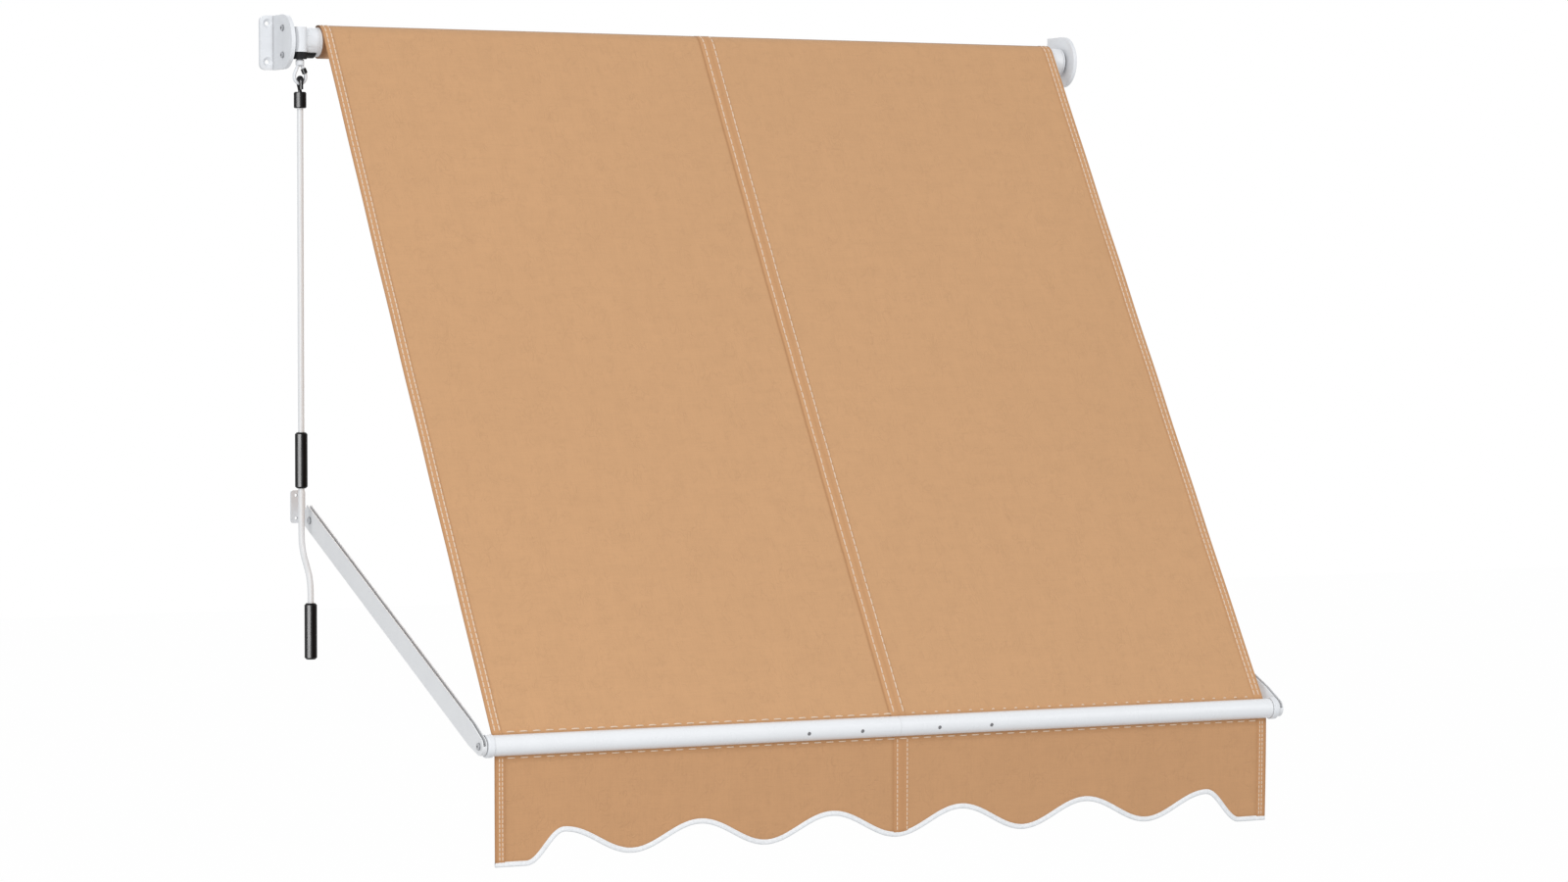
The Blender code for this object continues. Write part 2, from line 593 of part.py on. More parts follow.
def winding_eye(top):
    """Collar on the worm's shaft with the long ring that the crank hooks into. Returns the height of the ring's foot."""
    collar_top = top - 2 * GAP
    collar_base = collar_top - EYE_COLLAR_LENGTH
    rounding = 0.0015
    profile = [
        (collar_base, 0.0),
        (collar_base, EYE_COLLAR_RADIUS - rounding),
        (collar_base + rounding, EYE_COLLAR_RADIUS),
        (collar_top - rounding, EYE_COLLAR_RADIUS),
        (collar_top, EYE_COLLAR_RADIUS - rounding),
        (collar_top, 0.0),
    ]
    shape = turned(profile, "Z", 24)
    bmesh.ops.translate(shape, verts=shape.verts[:], vec=(WORM_X, WORM_Y, 0.0))
    eye = place("winding_eye", shape, "white_cast")
    lower_z = collar_base - EYE_HEIGHT + EYE_HALF_WIDTH
    crown = Vector((EYE_CROWN, 0, collar_base + EYE_WIRE / 2))
    shoulder = Vector((EYE_HALF_WIDTH, 0, collar_base - EYE_SHOULDER))
    mirror = Vector((-1, 0, 1))
    corners = [Vector((EYE_HALF_WIDTH, 0, lower_z)), shoulder, crown, crown * mirror, shoulder * mirror]
    corners += [Vector((-EYE_HALF_WIDTH, 0, lower_z))]
    outline = [(p.x, p.z) for p in bent_path(corners, 0.0016, 4)]
    outline += arc((0.0, lower_z), EYE_HALF_WIDTH, math.pi, 2 * math.pi, 12)[1:-1]
    ring = swept([(WORM_X + x, WORM_Y, z) for x, z in outline], EYE_WIRE, 12, closed=True)
    combine(eye, guide("winding_eye_ring", ring), "UNION")
    bore = rod(collar_top - EYE_COLLAR_LENGTH + 0.0028, collar_top + 0.01, SHAFT_RADIUS + GAP, "Z", 20, (WORM_X, WORM_Y, 0.0))
    combine(eye, guide("winding_eye_bore", bore), "DIFFERENCE")
    eye_sleeve(crown, shoulder)
    return lower_z - EYE_HALF_WIDTH


def eye_sleeve(crown, shoulder):
    """Black sleeve on the ring's sloping shoulder, on its side away from the bracket."""
    run = shoulder - crown
    middle = crown + run * 0.62
    half = run.length * 0.25
    bore = EYE_WIRE + GAP
    profile = [(-half, bore), (-half, bore + EYE_SLEEVE_WALL), (half, bore + EYE_SLEEVE_WALL), (half, bore)]
    shape = turned(profile, "Z", 20)
    bmesh.ops.rotate(shape, verts=shape.verts[:], matrix=run.to_track_quat("Z", "Y").to_matrix())
    bmesh.ops.translate(shape, verts=shape.verts[:], vec=(WORM_X + middle.x, WORM_Y, middle.z))
    place("eye_sleeve", shape, "black_plastic")


def crank(ring_foot, frame):
    """Hook, coupler, bent rod and the two turning grips, hanging from the ring."""
    arch_z = ring_foot + EYE_WIRE + GAP + HOOK_WIRE - HOOK_BEND
    coupler_top = arch_z - HOOK_STEM + 0.004
    tip_z = coupler_top + 0.0035
    path = [(0.0, -HOOK_BEND, tip_z), (0.0, -HOOK_BEND, arch_z)]
    swell = [0.0, 0.0]
    for step in range(1, 13):
        angle = math.pi * (1 - step / 12)
        growth = HOOK_SWELL * math.sin(angle)
        path.append((0.0, (HOOK_BEND + growth) * math.cos(angle), arch_z + (HOOK_BEND + growth) * math.sin(angle)))
        swell.append(growth)
    path += [(0.0, HOOK_BEND, arch_z - 0.0015), (0.0, HOOK_BEND - 0.0020, arch_z - 0.0045)]
    path += [(0.0, 0.0008, coupler_top + 0.0026), (0.0, 0.0, coupler_top + 0.0012)]
    path += [(0.0, 0.0, coupler_top - COUPLER_LENGTH / 2 + 0.001)]
    swell += [0.0] * (len(path) - len(swell))
    place("crank_hook", swept(path, HOOK_WIRE, 12, swell=swell), "black_plastic", parent=frame)
    base = coupler_top - COUPLER_LENGTH
    middle = coupler_top - COUPLER_LENGTH / 2
    rounding = 0.0012
    sleeve = [
        (base, ROD_RADIUS + GAP),
        (base, COUPLER_RADIUS - rounding),
        (base + rounding, COUPLER_RADIUS),
        (coupler_top - rounding, COUPLER_RADIUS),
        (coupler_top, COUPLER_RADIUS - rounding),
        (coupler_top, HOOK_WIRE + GAP),
        (middle, HOOK_WIRE + GAP),
        (middle, ROD_RADIUS + GAP),
    ]
    place("crank_coupler", turned(sleeve, "Z", 28), "black_plastic", parent=frame)
    foot = -(LOWER_GRIP_DROP + GRIP_LENGTH) + 0.004
    corners = [
        Vector((0, 0, middle - GAP)),
        Vector((0, 0, -BEND_DROP)),
        Vector((0, -BEND_OFFSET, -BEND_DROP - BEND_HEIGHT)),
        Vector((0, -BEND_OFFSET, foot)),
    ]
    place("crank_rod", swept(bent_path(corners, BEND_ROUND, 6), ROD_RADIUS, 14), "white_paint", parent=frame)


def bent_path(corners, cut, steps):
    """A path through corners whose bends are smooth curves that start and end a cut away from each corner."""
    path = [corners[0]]
    for before, here, after in zip(corners, corners[1:], corners[2:]):
        start = here + (before - here).normalized() * cut
        end = here + (after - here).normalized() * cut
        for i in range(steps + 1):
            t = i / steps
            path.append(start * (1 - t) ** 2 + here * (2 * t * (1 - t)) + end * t**2)
    path.append(corners[-1])
    return path


def grip(name, top, parent, blind):
    """Grip with rounded ends on the crank's rod. A blind grip is closed below the rod's end."""
    base = top - GRIP_LENGTH
    rounding = 0.0025
    bore = ROD_RADIUS + GAP
    profile = [
        (base + rounding * 0.3, GRIP_RADIUS - rounding * 0.7),
        (base + rounding, GRIP_RADIUS),
        (top - rounding, GRIP_RADIUS),
        (top - rounding * 0.3, GRIP_RADIUS - rounding * 0.7),
        (top, GRIP_RADIUS - rounding),
        (top, bore),
    ]
    if blind:
        deep = base + 0.0040 - GAP
        profile = [(base, 0.0), (base, GRIP_RADIUS - rounding)] + profile + [(deep, bore), (deep, 0.0)]
    else:
        profile = [(base, bore), (base, GRIP_RADIUS - rounding)] + profile
    place(name, turned(profile, "Z", 28), "black_plastic", parent=parent)


def roller(frame):
    """Grooved tube, the cord in its groove, the plug at each end and the cloth's turns round the tube."""
    groove = math.radians(60)
    outer, inner = grooved_tube(TUBE_RADIUS, TUBE_WALL, [groove])
    place("roller_tube", prism([outer, inner], TUBE_START, TUBE_END, "X"), "white_paint", parent=frame)
    depth = TUBE_RADIUS - GROOVE_DEPTH
    cord_place = (0.0, depth * math.cos(groove), depth * math.sin(groove))
    ends = (-HALF_WIDTH - ROLL_SHIFT, HALF_WIDTH - ROLL_SHIFT)
    place("roller_cord", rod(*ends, CORD_RADIUS, "X", 12, cord_place), "white_edging", parent=frame)
    start = CANOPY_ANGLE + math.pi
    steps = 40
    outside = []
    for i in range(steps + 1):
        grown = ROLL_RADIUS - CLOTH_THICK * i / steps
        angle = start + 2 * math.pi * i / steps
        outside.append((grown * math.cos(angle), grown * math.sin(angle)))
    inside = arc((0, 0), TUBE_RADIUS + GAP, 0.0, 2 * math.pi, steps)[:-1]
    place("cloth_roll", prism([outside, inside], *ends, "X"), "tan_cloth", parent=frame)
    _, fitted = grooved_tube(TUBE_RADIUS, TUBE_WALL, [groove], GAP)
    for side, word in ((-1, "drive"), (1, "idle")):
        face = TUBE_START if side < 0 else TUBE_END
        plug_low, plug_high = sorted((face, face - side * PLUG_LENGTH))
        plug = place(f"roller_plug_{word}", prism([fitted], plug_low, plug_high, "X"), "white_cast", parent=frame)
        low, high = sorted((face + side * GAP, face + side * (PLUG_FLANGE + GAP)))
        joined_low, joined_high = sorted((face - side * 0.002, face + side * 0.001))
        collar = rod(low, high, TUBE_RADIUS, "X", 40)
        neck = prism([fitted], joined_low, joined_high, "X")
        combine(plug, guide(f"roller_plug_{word}_neck", neck, frame), "UNION")
        combine(plug, guide(f"roller_plug_{word}_collar", collar, frame), "UNION")
        if side < 0:
            half = DRIVE_SQUARE / 2
            square = [(-half, -half), (half, -half), (half, half), (-half, half)]
            shaft = prism([square], GEAR_PLATE_X + 0.002, face + 0.001, "X")
        else:
            shaft = rod(face, IDLE_PLATE_X + PLATE_THICK - 0.001, IDLE_PIN_RADIUS, "X", 24)
        combine(plug, guide(f"roller_plug_{word}_shaft", shaft, frame), "UNION")


def idle_bush():
    """Flanged bush in the idle bracket, round the roller's pin."""
    bore = IDLE_PIN_RADIUS + GAP
    outer = bore + BUSH_WALL
    flange_start = TUBE_END + PLUG_FLANGE + 2 * GAP
    profile = [
        (flange_start, bore),
        (flange_start, outer + 0.004),
        (IDLE_PLATE_X - GAP, outer + 0.004),
        (IDLE_PLATE_X - GAP, outer),
        (IDLE_PLATE_X + PLATE_THICK, outer),
        (IDLE_PLATE_X + PLATE_THICK, bore),
    ]
    shape = turned(profile, "X", 28)
    bmesh.ops.translate(shape, verts=shape.verts[:], vec=(0.0, ROLLER_Y, 0.0))
    place("idle_bush", shape, "white_cast")
    return outer + GAP


def arm_bracket(side, word):
    """Angle bracket: a flange on the wall with two holes, and the lug at its inner edge. Includes its pin.

    The flange points away from the canopy, and the lug reaches into the arm's channel.
    """
    centre_x = side * ARM_X
    centre_z = PIVOT_Z + ARM_PLATE_RISE
    half_height = ARM_PLATE_HEIGHT / 2
    lug_half = ARM_WIDTH / 2 - ARM_WALL - GAP
    edges = sorted((centre_x - side * lug_half, centre_x + side * ARM_FLANGE))
    low = (edges[0], centre_z - half_height)
    high = (edges[1], centre_z + half_height)
    outline = rounded_rectangle(low, high, ARM_PLATE_CORNER, 3)
    body = place(f"arm_bracket_{word}", prism([outline], -ARM_PLATE_THICK, 0.0, "Y"), "white_cast")
    root_y = -ARM_PLATE_THICK / 2
    lug_low = max(PIVOT_Z - LUG_HALF_HEIGHT, centre_z - half_height + ARM_PLATE_CORNER)
    lug = [(root_y, PIVOT_Z + 2 * LUG_HALF_HEIGHT), (root_y, lug_low)]
    lug += arc((PIVOT_Y, PIVOT_Z), LUG_RADIUS, -math.pi / 2, -1.5 * math.pi, 14)
    shape = prism([lug], centre_x - lug_half, centre_x + lug_half, "X")
    combine(body, guide(f"arm_bracket_{word}_lug", shape), "UNION")
    hole = rod(centre_x - 0.01, centre_x + 0.01, PIN_RADIUS + GAP, "X", 24, (0.0, PIVOT_Y, PIVOT_Z))
    combine(body, guide(f"arm_bracket_{word}_bore", hole), "DIFFERENCE")
    for number in range(2):
        x = centre_x + side * ARM_HOLE_X
        z = centre_z + ARM_HOLE_Z * (1 if number else -1)
        cut = prism([arc((x, z), ARM_HOLE_RADIUS, 0, 2 * math.pi, 14)[:-1]], -0.01, 0.01, "Y")
        combine(body, guide(f"arm_bracket_{word}_hole_{number}", cut), "DIFFERENCE")
    reach = ARM_WIDTH / 2 + GAP
    pin = [
        (-reach - PIN_HEAD_THICK, 0.0),
        (-reach - PIN_HEAD_THICK, PIN_HEAD_RADIUS - 0.0008),
        (-reach - PIN_HEAD_THICK + 0.0008, PIN_HEAD_RADIUS),
        (-reach, PIN_HEAD_RADIUS),
        (-reach, PIN_RADIUS),
        (reach, PIN_RADIUS),
        (reach, PIN_HEAD_RADIUS),
        (reach + PIN_HEAD_THICK - 0.0008, PIN_HEAD_RADIUS),
        (reach + PIN_HEAD_THICK, PIN_HEAD_RADIUS - 0.0008),
        (reach + PIN_HEAD_THICK, 0.0),
    ]
    shape = turned(pin, "X", 24)
    bmesh.ops.translate(shape, verts=shape.verts[:], vec=(centre_x, PIVOT_Y, PIVOT_Z))
    place(f"arm_pin_{word}", shape, "zinc_steel")


def arm(side, word, frame):
    """Channel arm, open on top, drawn along -Y from its pivot in a frame that is turned down by the arm's angle.

    It is cut square behind its pivot and narrows to a round nose at the bar.
    """
    centre_x = side * ARM_X
    radius = ARM_HEIGHT / 2
    corner = 0.0025
    outline = arc((ARM_TAIL - corner, radius - corner), corner, math.pi / 2, 0.0, 3)
    outline += arc((ARM_TAIL - corner, corner - radius), corner, 0.0, -math.pi / 2, 3)
    outline += [(ARM_TAPER - ARM_LENGTH, -radius)]
    outline += arc((-ARM_LENGTH, 0.0), ARM_NOSE, -math.pi / 2, -1.5 * math.pi, 16)
    outline += [(ARM_TAPER - ARM_LENGTH, radius)]
    low, high = centre_x - ARM_WIDTH / 2, centre_x + ARM_WIDTH / 2
    body = place(f"arm_{word}", prism([outline], low, high, "X"), "white_paint", parent=frame)
    edge = body.modifiers.new("edge_round", "BEVEL")
    edge.width = 0.0010
    edge.segments = 2
    edge.angle_limit = math.radians(40)
    inner = radius - ARM_WALL
    nose = ARM_NOSE - ARM_WALL
    room = [(-WEB_START, 2 * radius), (-WEB_START, -inner), (ARM_TAPER - ARM_LENGTH, -inner)]
    room += arc((-ARM_LENGTH, 0.0), nose, -math.pi / 2, -math.pi, 8)
    room += [(-ARM_LENGTH - nose, 2 * radius)]
    side_low, side_high = low + ARM_WALL, high - ARM_WALL
    channel = prism([room], side_low, side_high, "X")
    combine(body, guide(f"arm_{word}_channel", channel, frame), "DIFFERENCE")
    mouth = [(2 * radius, -2 * radius), (2 * radius, 2 * radius), (-WEB_START - 0.001, 2 * radius), (-WEB_START - 0.001, -2 * radius)]
    combine(body, guide(f"arm_{word}_mouth", prism([mouth], side_low, side_high, "X"), frame), "DIFFERENCE")
    for number, along in enumerate((0.0, -ARM_LENGTH)):
        hole = rod(low - 0.01, high + 0.01, PIN_RADIUS + GAP, "X", 24, (0.0, along, 0.0))
        combine(body, guide(f"arm_{word}_hole_{number}", hole, frame), "DIFFERENCE")


def front_bar(frame):
    """Two grooved halves on an inner sleeve, with their screws, the end caps and the bolts through the arms' ends."""
    grooves = [CANOPY_GROOVE, VALANCE_GROOVE]
    outer, inner = grooved_tube(BAR_RADIUS, BAR_WALL, grooves)
    _, fitted = grooved_tube(BAR_RADIUS, BAR_WALL, grooves, GAP)
    sleeve = place("bar_sleeve", prism([fitted], -SLEEVE_LENGTH / 2, SLEEVE_LENGTH / 2, "X"), "zinc_steel", parent=frame)
    direction = Vector((0.0, math.cos(BAR_SCREW_ANGLE), math.sin(BAR_SCREW_ANGLE)))
    turn = direction.to_track_quat("Z", "X").to_matrix()
    for side, word in ((-1, "left"), (1, "right")):
        low, high = sorted((side * GAP / 2, side * BAR_END))
        half = place(f"bar_half_{word}", prism([outer, inner], low, high, "X"), "white_paint", parent=frame)
        for number, along in enumerate((BAR_SCREW_INNER, BAR_SCREW_OUTER)):
            hole = rod(BAR_RADIUS / 2, BAR_RADIUS * 2, BAR_SCREW_HEAD + GAP, "Z", 16)
            bmesh.ops.rotate(hole, verts=hole.verts[:], matrix=turn)
            bmesh.ops.translate(hole, verts=hole.verts[:], vec=(side * along, 0, 0))
            combine(half, guide(f"bar_hole_{word}_{number}", hole, frame), "DIFFERENCE")
            top = BAR_RADIUS - 0.0004
            seat = BAR_RADIUS - BAR_WALL - GAP / 2
            profile = [
                (seat - 0.006, 0.0),
                (seat - 0.006, BAR_SCREW_RADIUS),
                (seat, BAR_SCREW_RADIUS),
                (seat, BAR_SCREW_HEAD),
                (top, BAR_SCREW_HEAD),
                (top, 0.0),
            ]
            shape = turned(profile, "Z", 14)
            bmesh.ops.rotate(shape, verts=shape.verts[:], matrix=turn)
            bmesh.ops.translate(shape, verts=shape.verts[:], vec=(side * along, 0, 0))
            place(f"bar_screw_{word}_{number + 1}", shape, "zinc_steel", parent=frame)
            bore = rod(seat - 0.007, BAR_RADIUS, BAR_SCREW_RADIUS + GAP, "Z", 14)
            bmesh.ops.rotate(bore, verts=bore.verts[:], matrix=turn)
            bmesh.ops.translate(bore, verts=bore.verts[:], vec=(side * along, 0, 0))
            combine(sleeve, guide(f"bar_sleeve_bore_{word}_{number}", bore, frame), "DIFFERENCE")
        bar_end(side, word, fitted, frame)


def bar_end(side, word, fitted, frame):
    """End cap with its spigot in the bar, and the bolt that the arm turns on."""
    face = side * (BAR_END + GAP)
    outer_face = side * (BAR_END + BAR_CAP_THICK)
    rounding = 0.0016
    profile = [
        (face, 0.0),
        (face, BAR_CAP_RADIUS - 0.0005),
        (face + side * 0.0005, BAR_CAP_RADIUS),
        (outer_face - side * rounding, BAR_CAP_RADIUS),
        (outer_face - side * rounding * 0.3, BAR_CAP_RADIUS - rounding * 0.3),
        (outer_face, BAR_CAP_RADIUS - rounding),
        (outer_face, 0.0),
    ]
    cap = place(f"bar_cap_{word}", turned(profile, "X", 36), "white_cast", parent=frame)
    low, high = sorted((side * (BAR_END - 0.022), face + side * 0.001))
    combine(cap, guide(f"bar_cap_{word}_spigot", prism([fitted], low, high, "X"), frame), "UNION")
    tip = side * (BAR_END - 0.010)
    arm_face = side * (ARM_X + ARM_WIDTH / 2 + GAP)
    low, high = sorted((tip - side * 0.001, outer_face + side * 0.01))
    combine(cap, guide(f"bar_cap_{word}_bore", rod(low, high, PIN_RADIUS + GAP, "X", 24), frame), "DIFFERENCE")
    head = arm_face + side * PIN_HEAD_THICK
    bolt = [
        (tip, 0.0),
        (tip, PIN_RADIUS),
        (arm_face, PIN_RADIUS),
        (arm_face, PIN_HEAD_RADIUS),
        (head - side * 0.0008, PIN_HEAD_RADIUS),
        (head, PIN_HEAD_RADIUS - 0.0008),
        (head, 0.0),
    ]
    screw = place(f"bar_bolt_{word}", turned(bolt, "X", 24), "zinc_steel", parent=frame)
    socket = hex_socket(f"bar_bolt_socket_{word}", head - side * SOCKET_DEPTH, side * (SOCKET_DEPTH + 0.001), 0.0, 0.0, frame)
    combine(screw, socket, "DIFFERENCE")


def cloth_section(inner, outer, hem):
    """Section of a cloth panel across its width: double at both hems and along the middle seam."""
    seam_start = SEAM_MIDDLE - SEAM_WIDTH / 2
    seam_end = SEAM_MIDDLE + SEAM_WIDTH / 2
    return [
        (-HALF_WIDTH, inner),
        (HALF_WIDTH, inner),
        (HALF_WIDTH, hem),
        (HALF_WIDTH - HEM_WIDTH, hem),
        (HALF_WIDTH - HEM_WIDTH, outer),
        (seam_end, outer),
        (seam_end, hem),
        (seam_start, hem),
        (seam_start, outer),
        (HEM_WIDTH - HALF_WIDTH, outer),
        (HEM_WIDTH - HALF_WIDTH, hem),
        (-HALF_WIDTH, hem),
    ]


def canopy(frame, bar_frame):
    """Sloping cloth, drawn hanging straight down from the roll in a frame that is turned to the canopy's slope.

    It leans evenly from its place on the bar to its place on the roll, which is nearer to the gearbox.
    """
    inner = -(ROLL_RADIUS + GAP)
    section = cloth_section(inner, inner - CLOTH_THICK, inner - 2 * CLOTH_THICK)
    cord_reach = BAR_RADIUS - GROOVE_DEPTH
    foot = -(CANOPY_REACH - cord_reach - CORD_RADIUS - GAP)
    cloth = prism([section], foot, 0.0, "Z")
    for vertex in cloth.verts:
        vertex.co.x -= ROLL_SHIFT * (1 + vertex.co.z / CANOPY_REACH)
    place("canopy", cloth, "tan_cloth", parent=frame)
    for word, groove in (("canopy_cord", CANOPY_GROOVE), ("valance_cord", VALANCE_GROOVE)):
        centre = (0.0, cord_reach * math.cos(groove), cord_reach * math.sin(groove))
        place(word, rod(-HALF_WIDTH, HALF_WIDTH, CORD_RADIUS, "X", 14, centre), "white_edging", parent=bar_frame)


def scallop(x):
    """Height of the valance's edge below the bar's axis at a place along the bar.

    Inside the last crests the edge is a cosine wave. Outside them half a wave runs down to the level foot.
    """
    pitch = CLOTH_WIDTH / SCALLOP_COUNT
    crest = -VALANCE_DROP + FOOT_DROP + SCALLOP_DEPTH
    last = HALF_WIDTH - pitch / 2
    away = abs(x)
    if away <= last:
        return crest - SCALLOP_DEPTH * (1 - math.cos(2 * math.pi * (away - last) / pitch)) / 2
    share = min((away - last) / (pitch / 2 - SCALLOP_FOOT), 1.0)
    return crest - (SCALLOP_DEPTH + FOOT_DROP) * (1 - math.cos(math.pi * share)) / 2


def raised(path, distance):
    """The path moved upward by a distance that is measured square to each of its lines."""
    points = [Vector(p) for p in path]
    moved = []
    for i, here in enumerate(points):
        before = (here - points[max(i - 1, 0)]).normalized() if i else Vector((1, 0))
        after = (points[min(i + 1, len(points) - 1)] - here).normalized() if i < len(points) - 1 else Vector((1, 0))
        tangent = (before + after).normalized()
        moved.append(here + Vector((-tangent.y, tangent.x)) * (distance / before.dot(tangent)))
    return [(p.x, p.y) for p in moved]


def valance(frame):
    """Hanging strip with a scalloped foot and the oval white edging under it."""
    columns = 144
    xs = [CLOTH_WIDTH * (i / columns - 0.5) for i in range(columns + 1)]
    top = -(BAR_RADIUS - GROOVE_DEPTH + CORD_RADIUS + GAP)
    edge = [(x, scallop(x)) for x in xs]
    foot = raised(edge, EDGING_HALF_HEIGHT + GAP)
    reach = CLOTH_WIDTH / columns
    outline = foot + [(HALF_WIDTH, top), (-HALF_WIDTH, top)]
    face = -CLOTH_THICK / 2
    body = place("valance", prism([outline], face, face + CLOTH_THICK, "Y"), "tan_cloth", parent=frame)
    strips = (("left_hem", -HALF_WIDTH, HEM_WIDTH - HALF_WIDTH), ("right_hem", HALF_WIDTH - HEM_WIDTH, HALF_WIDTH))
    strips += (("seam", SEAM_MIDDLE - SEAM_WIDTH / 2, SEAM_MIDDLE + SEAM_WIDTH / 2),)
    for word, start, end in strips:
        low = max(z for x, z in foot if start - reach <= x <= end + reach) + 0.0002
        strip = [(start, low), (end, low), (end, top - 0.0002), (start, top - 0.0002)]
        inset = 0.00005 if abs(start) == HALF_WIDTH or abs(end) == HALF_WIDTH else 0.0
        shape = prism([strip], face - CLOTH_THICK + inset, 0.0, "Y")
        combine(body, guide(f"valance_{word}", shape, frame), "UNION")
    path = [(x, 0.0, z) for x, z in edge]
    tape = swept(path, EDGING_HALF_HEIGHT, 8, depth=EDGING_HALF_THICK / EDGING_HALF_HEIGHT)
    place("valance_edging", tape, "white_edging", parent=frame)


def build():
    """Make every piece of the awning."""
    clear_scene()
    roller_frame = empty("roller_axis", (0.0, ROLLER_Y, 0.0))
    canopy_frame = empty("canopy_axis", (0.0, ROLLER_Y, 0.0), CANOPY_ANGLE)
    bar_frame = empty("bar_axis", (0.0, BAR_Y, BAR_Z))
    crank_frame = empty("crank_axis", (WORM_X, WORM_Y, 0.0))
    lower_grip_frame = empty("lower_grip_axis", (0.0, -BEND_OFFSET, 0.0), parent=crank_frame)
    screw_height = GEARBOX_RADIUS - GEARBOX_WALL / 2
    screw_hole = GEAR_SCREW_RADIUS + GAP
    bracket("gear_bracket", GEAR_PLATE_X, -1, [(ROLLER_Y, screw_height, screw_hole), (ROLLER_Y, -screw_height, screw_hole)])
    gearbox()
    gear_cover()
    worm_wheel()
    tower_base = worm_shaft()
    ring_foot = winding_eye(tower_base)
    crank(ring_foot, crank_frame)
    grip("upper_grip", -UPPER_GRIP_DROP, crank_frame, blind=False)
    grip("lower_grip", -LOWER_GRIP_DROP, lower_grip_frame, blind=True)
    roller(roller_frame)
    bush_hole = idle_bush()
    bracket("idle_bracket", IDLE_PLATE_X, 1, [(ROLLER_Y, 0.0, bush_hole)])
    for side, word in ((-1, "left"), (1, "right")):
        arm_frame = empty(f"arm_axis_{word}", (0.0, PIVOT_Y, PIVOT_Z), ARM_ANGLE)
        arm_bracket(side, word)
        arm(side, word, arm_frame)
    front_bar(bar_frame)
    canopy(canopy_frame, bar_frame)
    valance(bar_frame)
    bpy.context.view_layer.update()


build()
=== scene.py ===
"""Dress the window awning: cloth, sewing, painted tubes, castings, gears and the crank.

Metres, in the CAD frame: the wall is Y = 0, the awning stands out along -Y, +X runs along the roller and +Z
is up.
"""

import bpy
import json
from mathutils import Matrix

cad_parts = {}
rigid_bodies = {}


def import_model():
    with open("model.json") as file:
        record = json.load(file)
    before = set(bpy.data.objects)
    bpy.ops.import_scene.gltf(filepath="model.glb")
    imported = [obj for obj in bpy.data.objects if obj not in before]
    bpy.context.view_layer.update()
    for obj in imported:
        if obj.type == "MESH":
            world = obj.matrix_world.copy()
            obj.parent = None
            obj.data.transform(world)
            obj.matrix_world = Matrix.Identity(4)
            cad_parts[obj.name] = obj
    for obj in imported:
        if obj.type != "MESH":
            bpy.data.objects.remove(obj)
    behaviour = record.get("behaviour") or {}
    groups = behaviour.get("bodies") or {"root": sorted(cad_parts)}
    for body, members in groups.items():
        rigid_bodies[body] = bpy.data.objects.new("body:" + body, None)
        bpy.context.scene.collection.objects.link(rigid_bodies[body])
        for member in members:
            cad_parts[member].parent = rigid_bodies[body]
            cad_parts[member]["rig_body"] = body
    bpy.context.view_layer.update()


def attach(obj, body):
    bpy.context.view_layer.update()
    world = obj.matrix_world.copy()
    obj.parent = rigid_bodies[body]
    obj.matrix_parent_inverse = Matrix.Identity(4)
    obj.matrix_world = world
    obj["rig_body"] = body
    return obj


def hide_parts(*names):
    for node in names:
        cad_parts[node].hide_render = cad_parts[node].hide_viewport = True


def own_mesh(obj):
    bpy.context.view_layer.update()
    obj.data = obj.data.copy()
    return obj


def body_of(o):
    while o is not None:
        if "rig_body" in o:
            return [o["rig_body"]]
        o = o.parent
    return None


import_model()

import json
import logging
import math
from dataclasses import dataclass, field
from enum import Enum

import bmesh
import bpy
import numpy as np

LOG = logging.getLogger("awning")

Array = np.ndarray
Object = bpy.types.Object
Socket = bpy.types.NodeSocket
Triple = tuple[float, float, float]
Finishes = dict[str, bpy.types.Material]

# Places that the cloth and the hardware share, from the CAD source
HALF_WIDTH = 0.600
ROLLER = np.array((0.0, -0.045, 0.0))
BAR = np.array((0.0, -0.6601416, -0.9540992))
ROLL_RADIUS = 0.0237
TUBE_RADIUS = 0.021
BAR_RADIUS = 0.014
CLOTH = 0.0008
GAP = 0.0003
ROLL_SHIFT = 0.0115
SLOPE_ANGLE = math.radians(-31.5595196)
SLOPE_LENGTH = 1.1349402
DOWN = np.array((0.0, math.sin(SLOPE_ANGLE), -math.cos(SLOPE_ANGLE)))
OUT = np.array((0.0, -math.cos(SLOPE_ANGLE), -math.sin(SLOPE_ANGLE)))

# Widths over which a fold's edge rises and a thread pulls the cloth in
FOLD = 0.0010
TROUGH = 0.0011
# Pitch and length of the long stitches beside the bar
BAR_STITCH = (0.0190, 0.0125)
# Points of a CAD node closer than this are one point, and faces within this many degrees are one face
SAME_POINT = 0.000002
SAME_FACE = 0.2
WHITE = (1.0, 1.0, 1.0, 1.0)
# Nodes that the side box lights
BLACK_NODES = ("crank_coupler", "eye_sleeve", "crank_hook", "upper_grip", "lower_grip")


class Axis(Enum):
    """A direction of the frame, with its index in a point."""

    X = 0
    Y = 1
    Z = 2


class Shading(Enum):
    """How a mesh is shaded: smooth all over, or sharp past an angle in degrees."""

    SMOOTH = 180.0
    CLOTH = 50.0
    HARD = 32.0


# ---- meshes ----


def step_up(x: Array, edge: float, soft: float) -> Array:
    """Smooth step from 0 below the edge to 1 above it: 3t^2 - 2t^3 with t = (x - edge) / soft + 1/2.

    Args:
        x: places.
        edge: middle of the step.
        soft: width of the step.

    Returns:
        The step's height at each place.
    """
    t = np.clip((x - edge) / soft + 0.5, 0.0, 1.0)
    return t * t * (3.0 - 2.0 * t)


def line_at(off: Array, half: float) -> Array:
    """Soft line: exp(-(off / half)^2)."""
    return np.exp(-((off / half) ** 2))


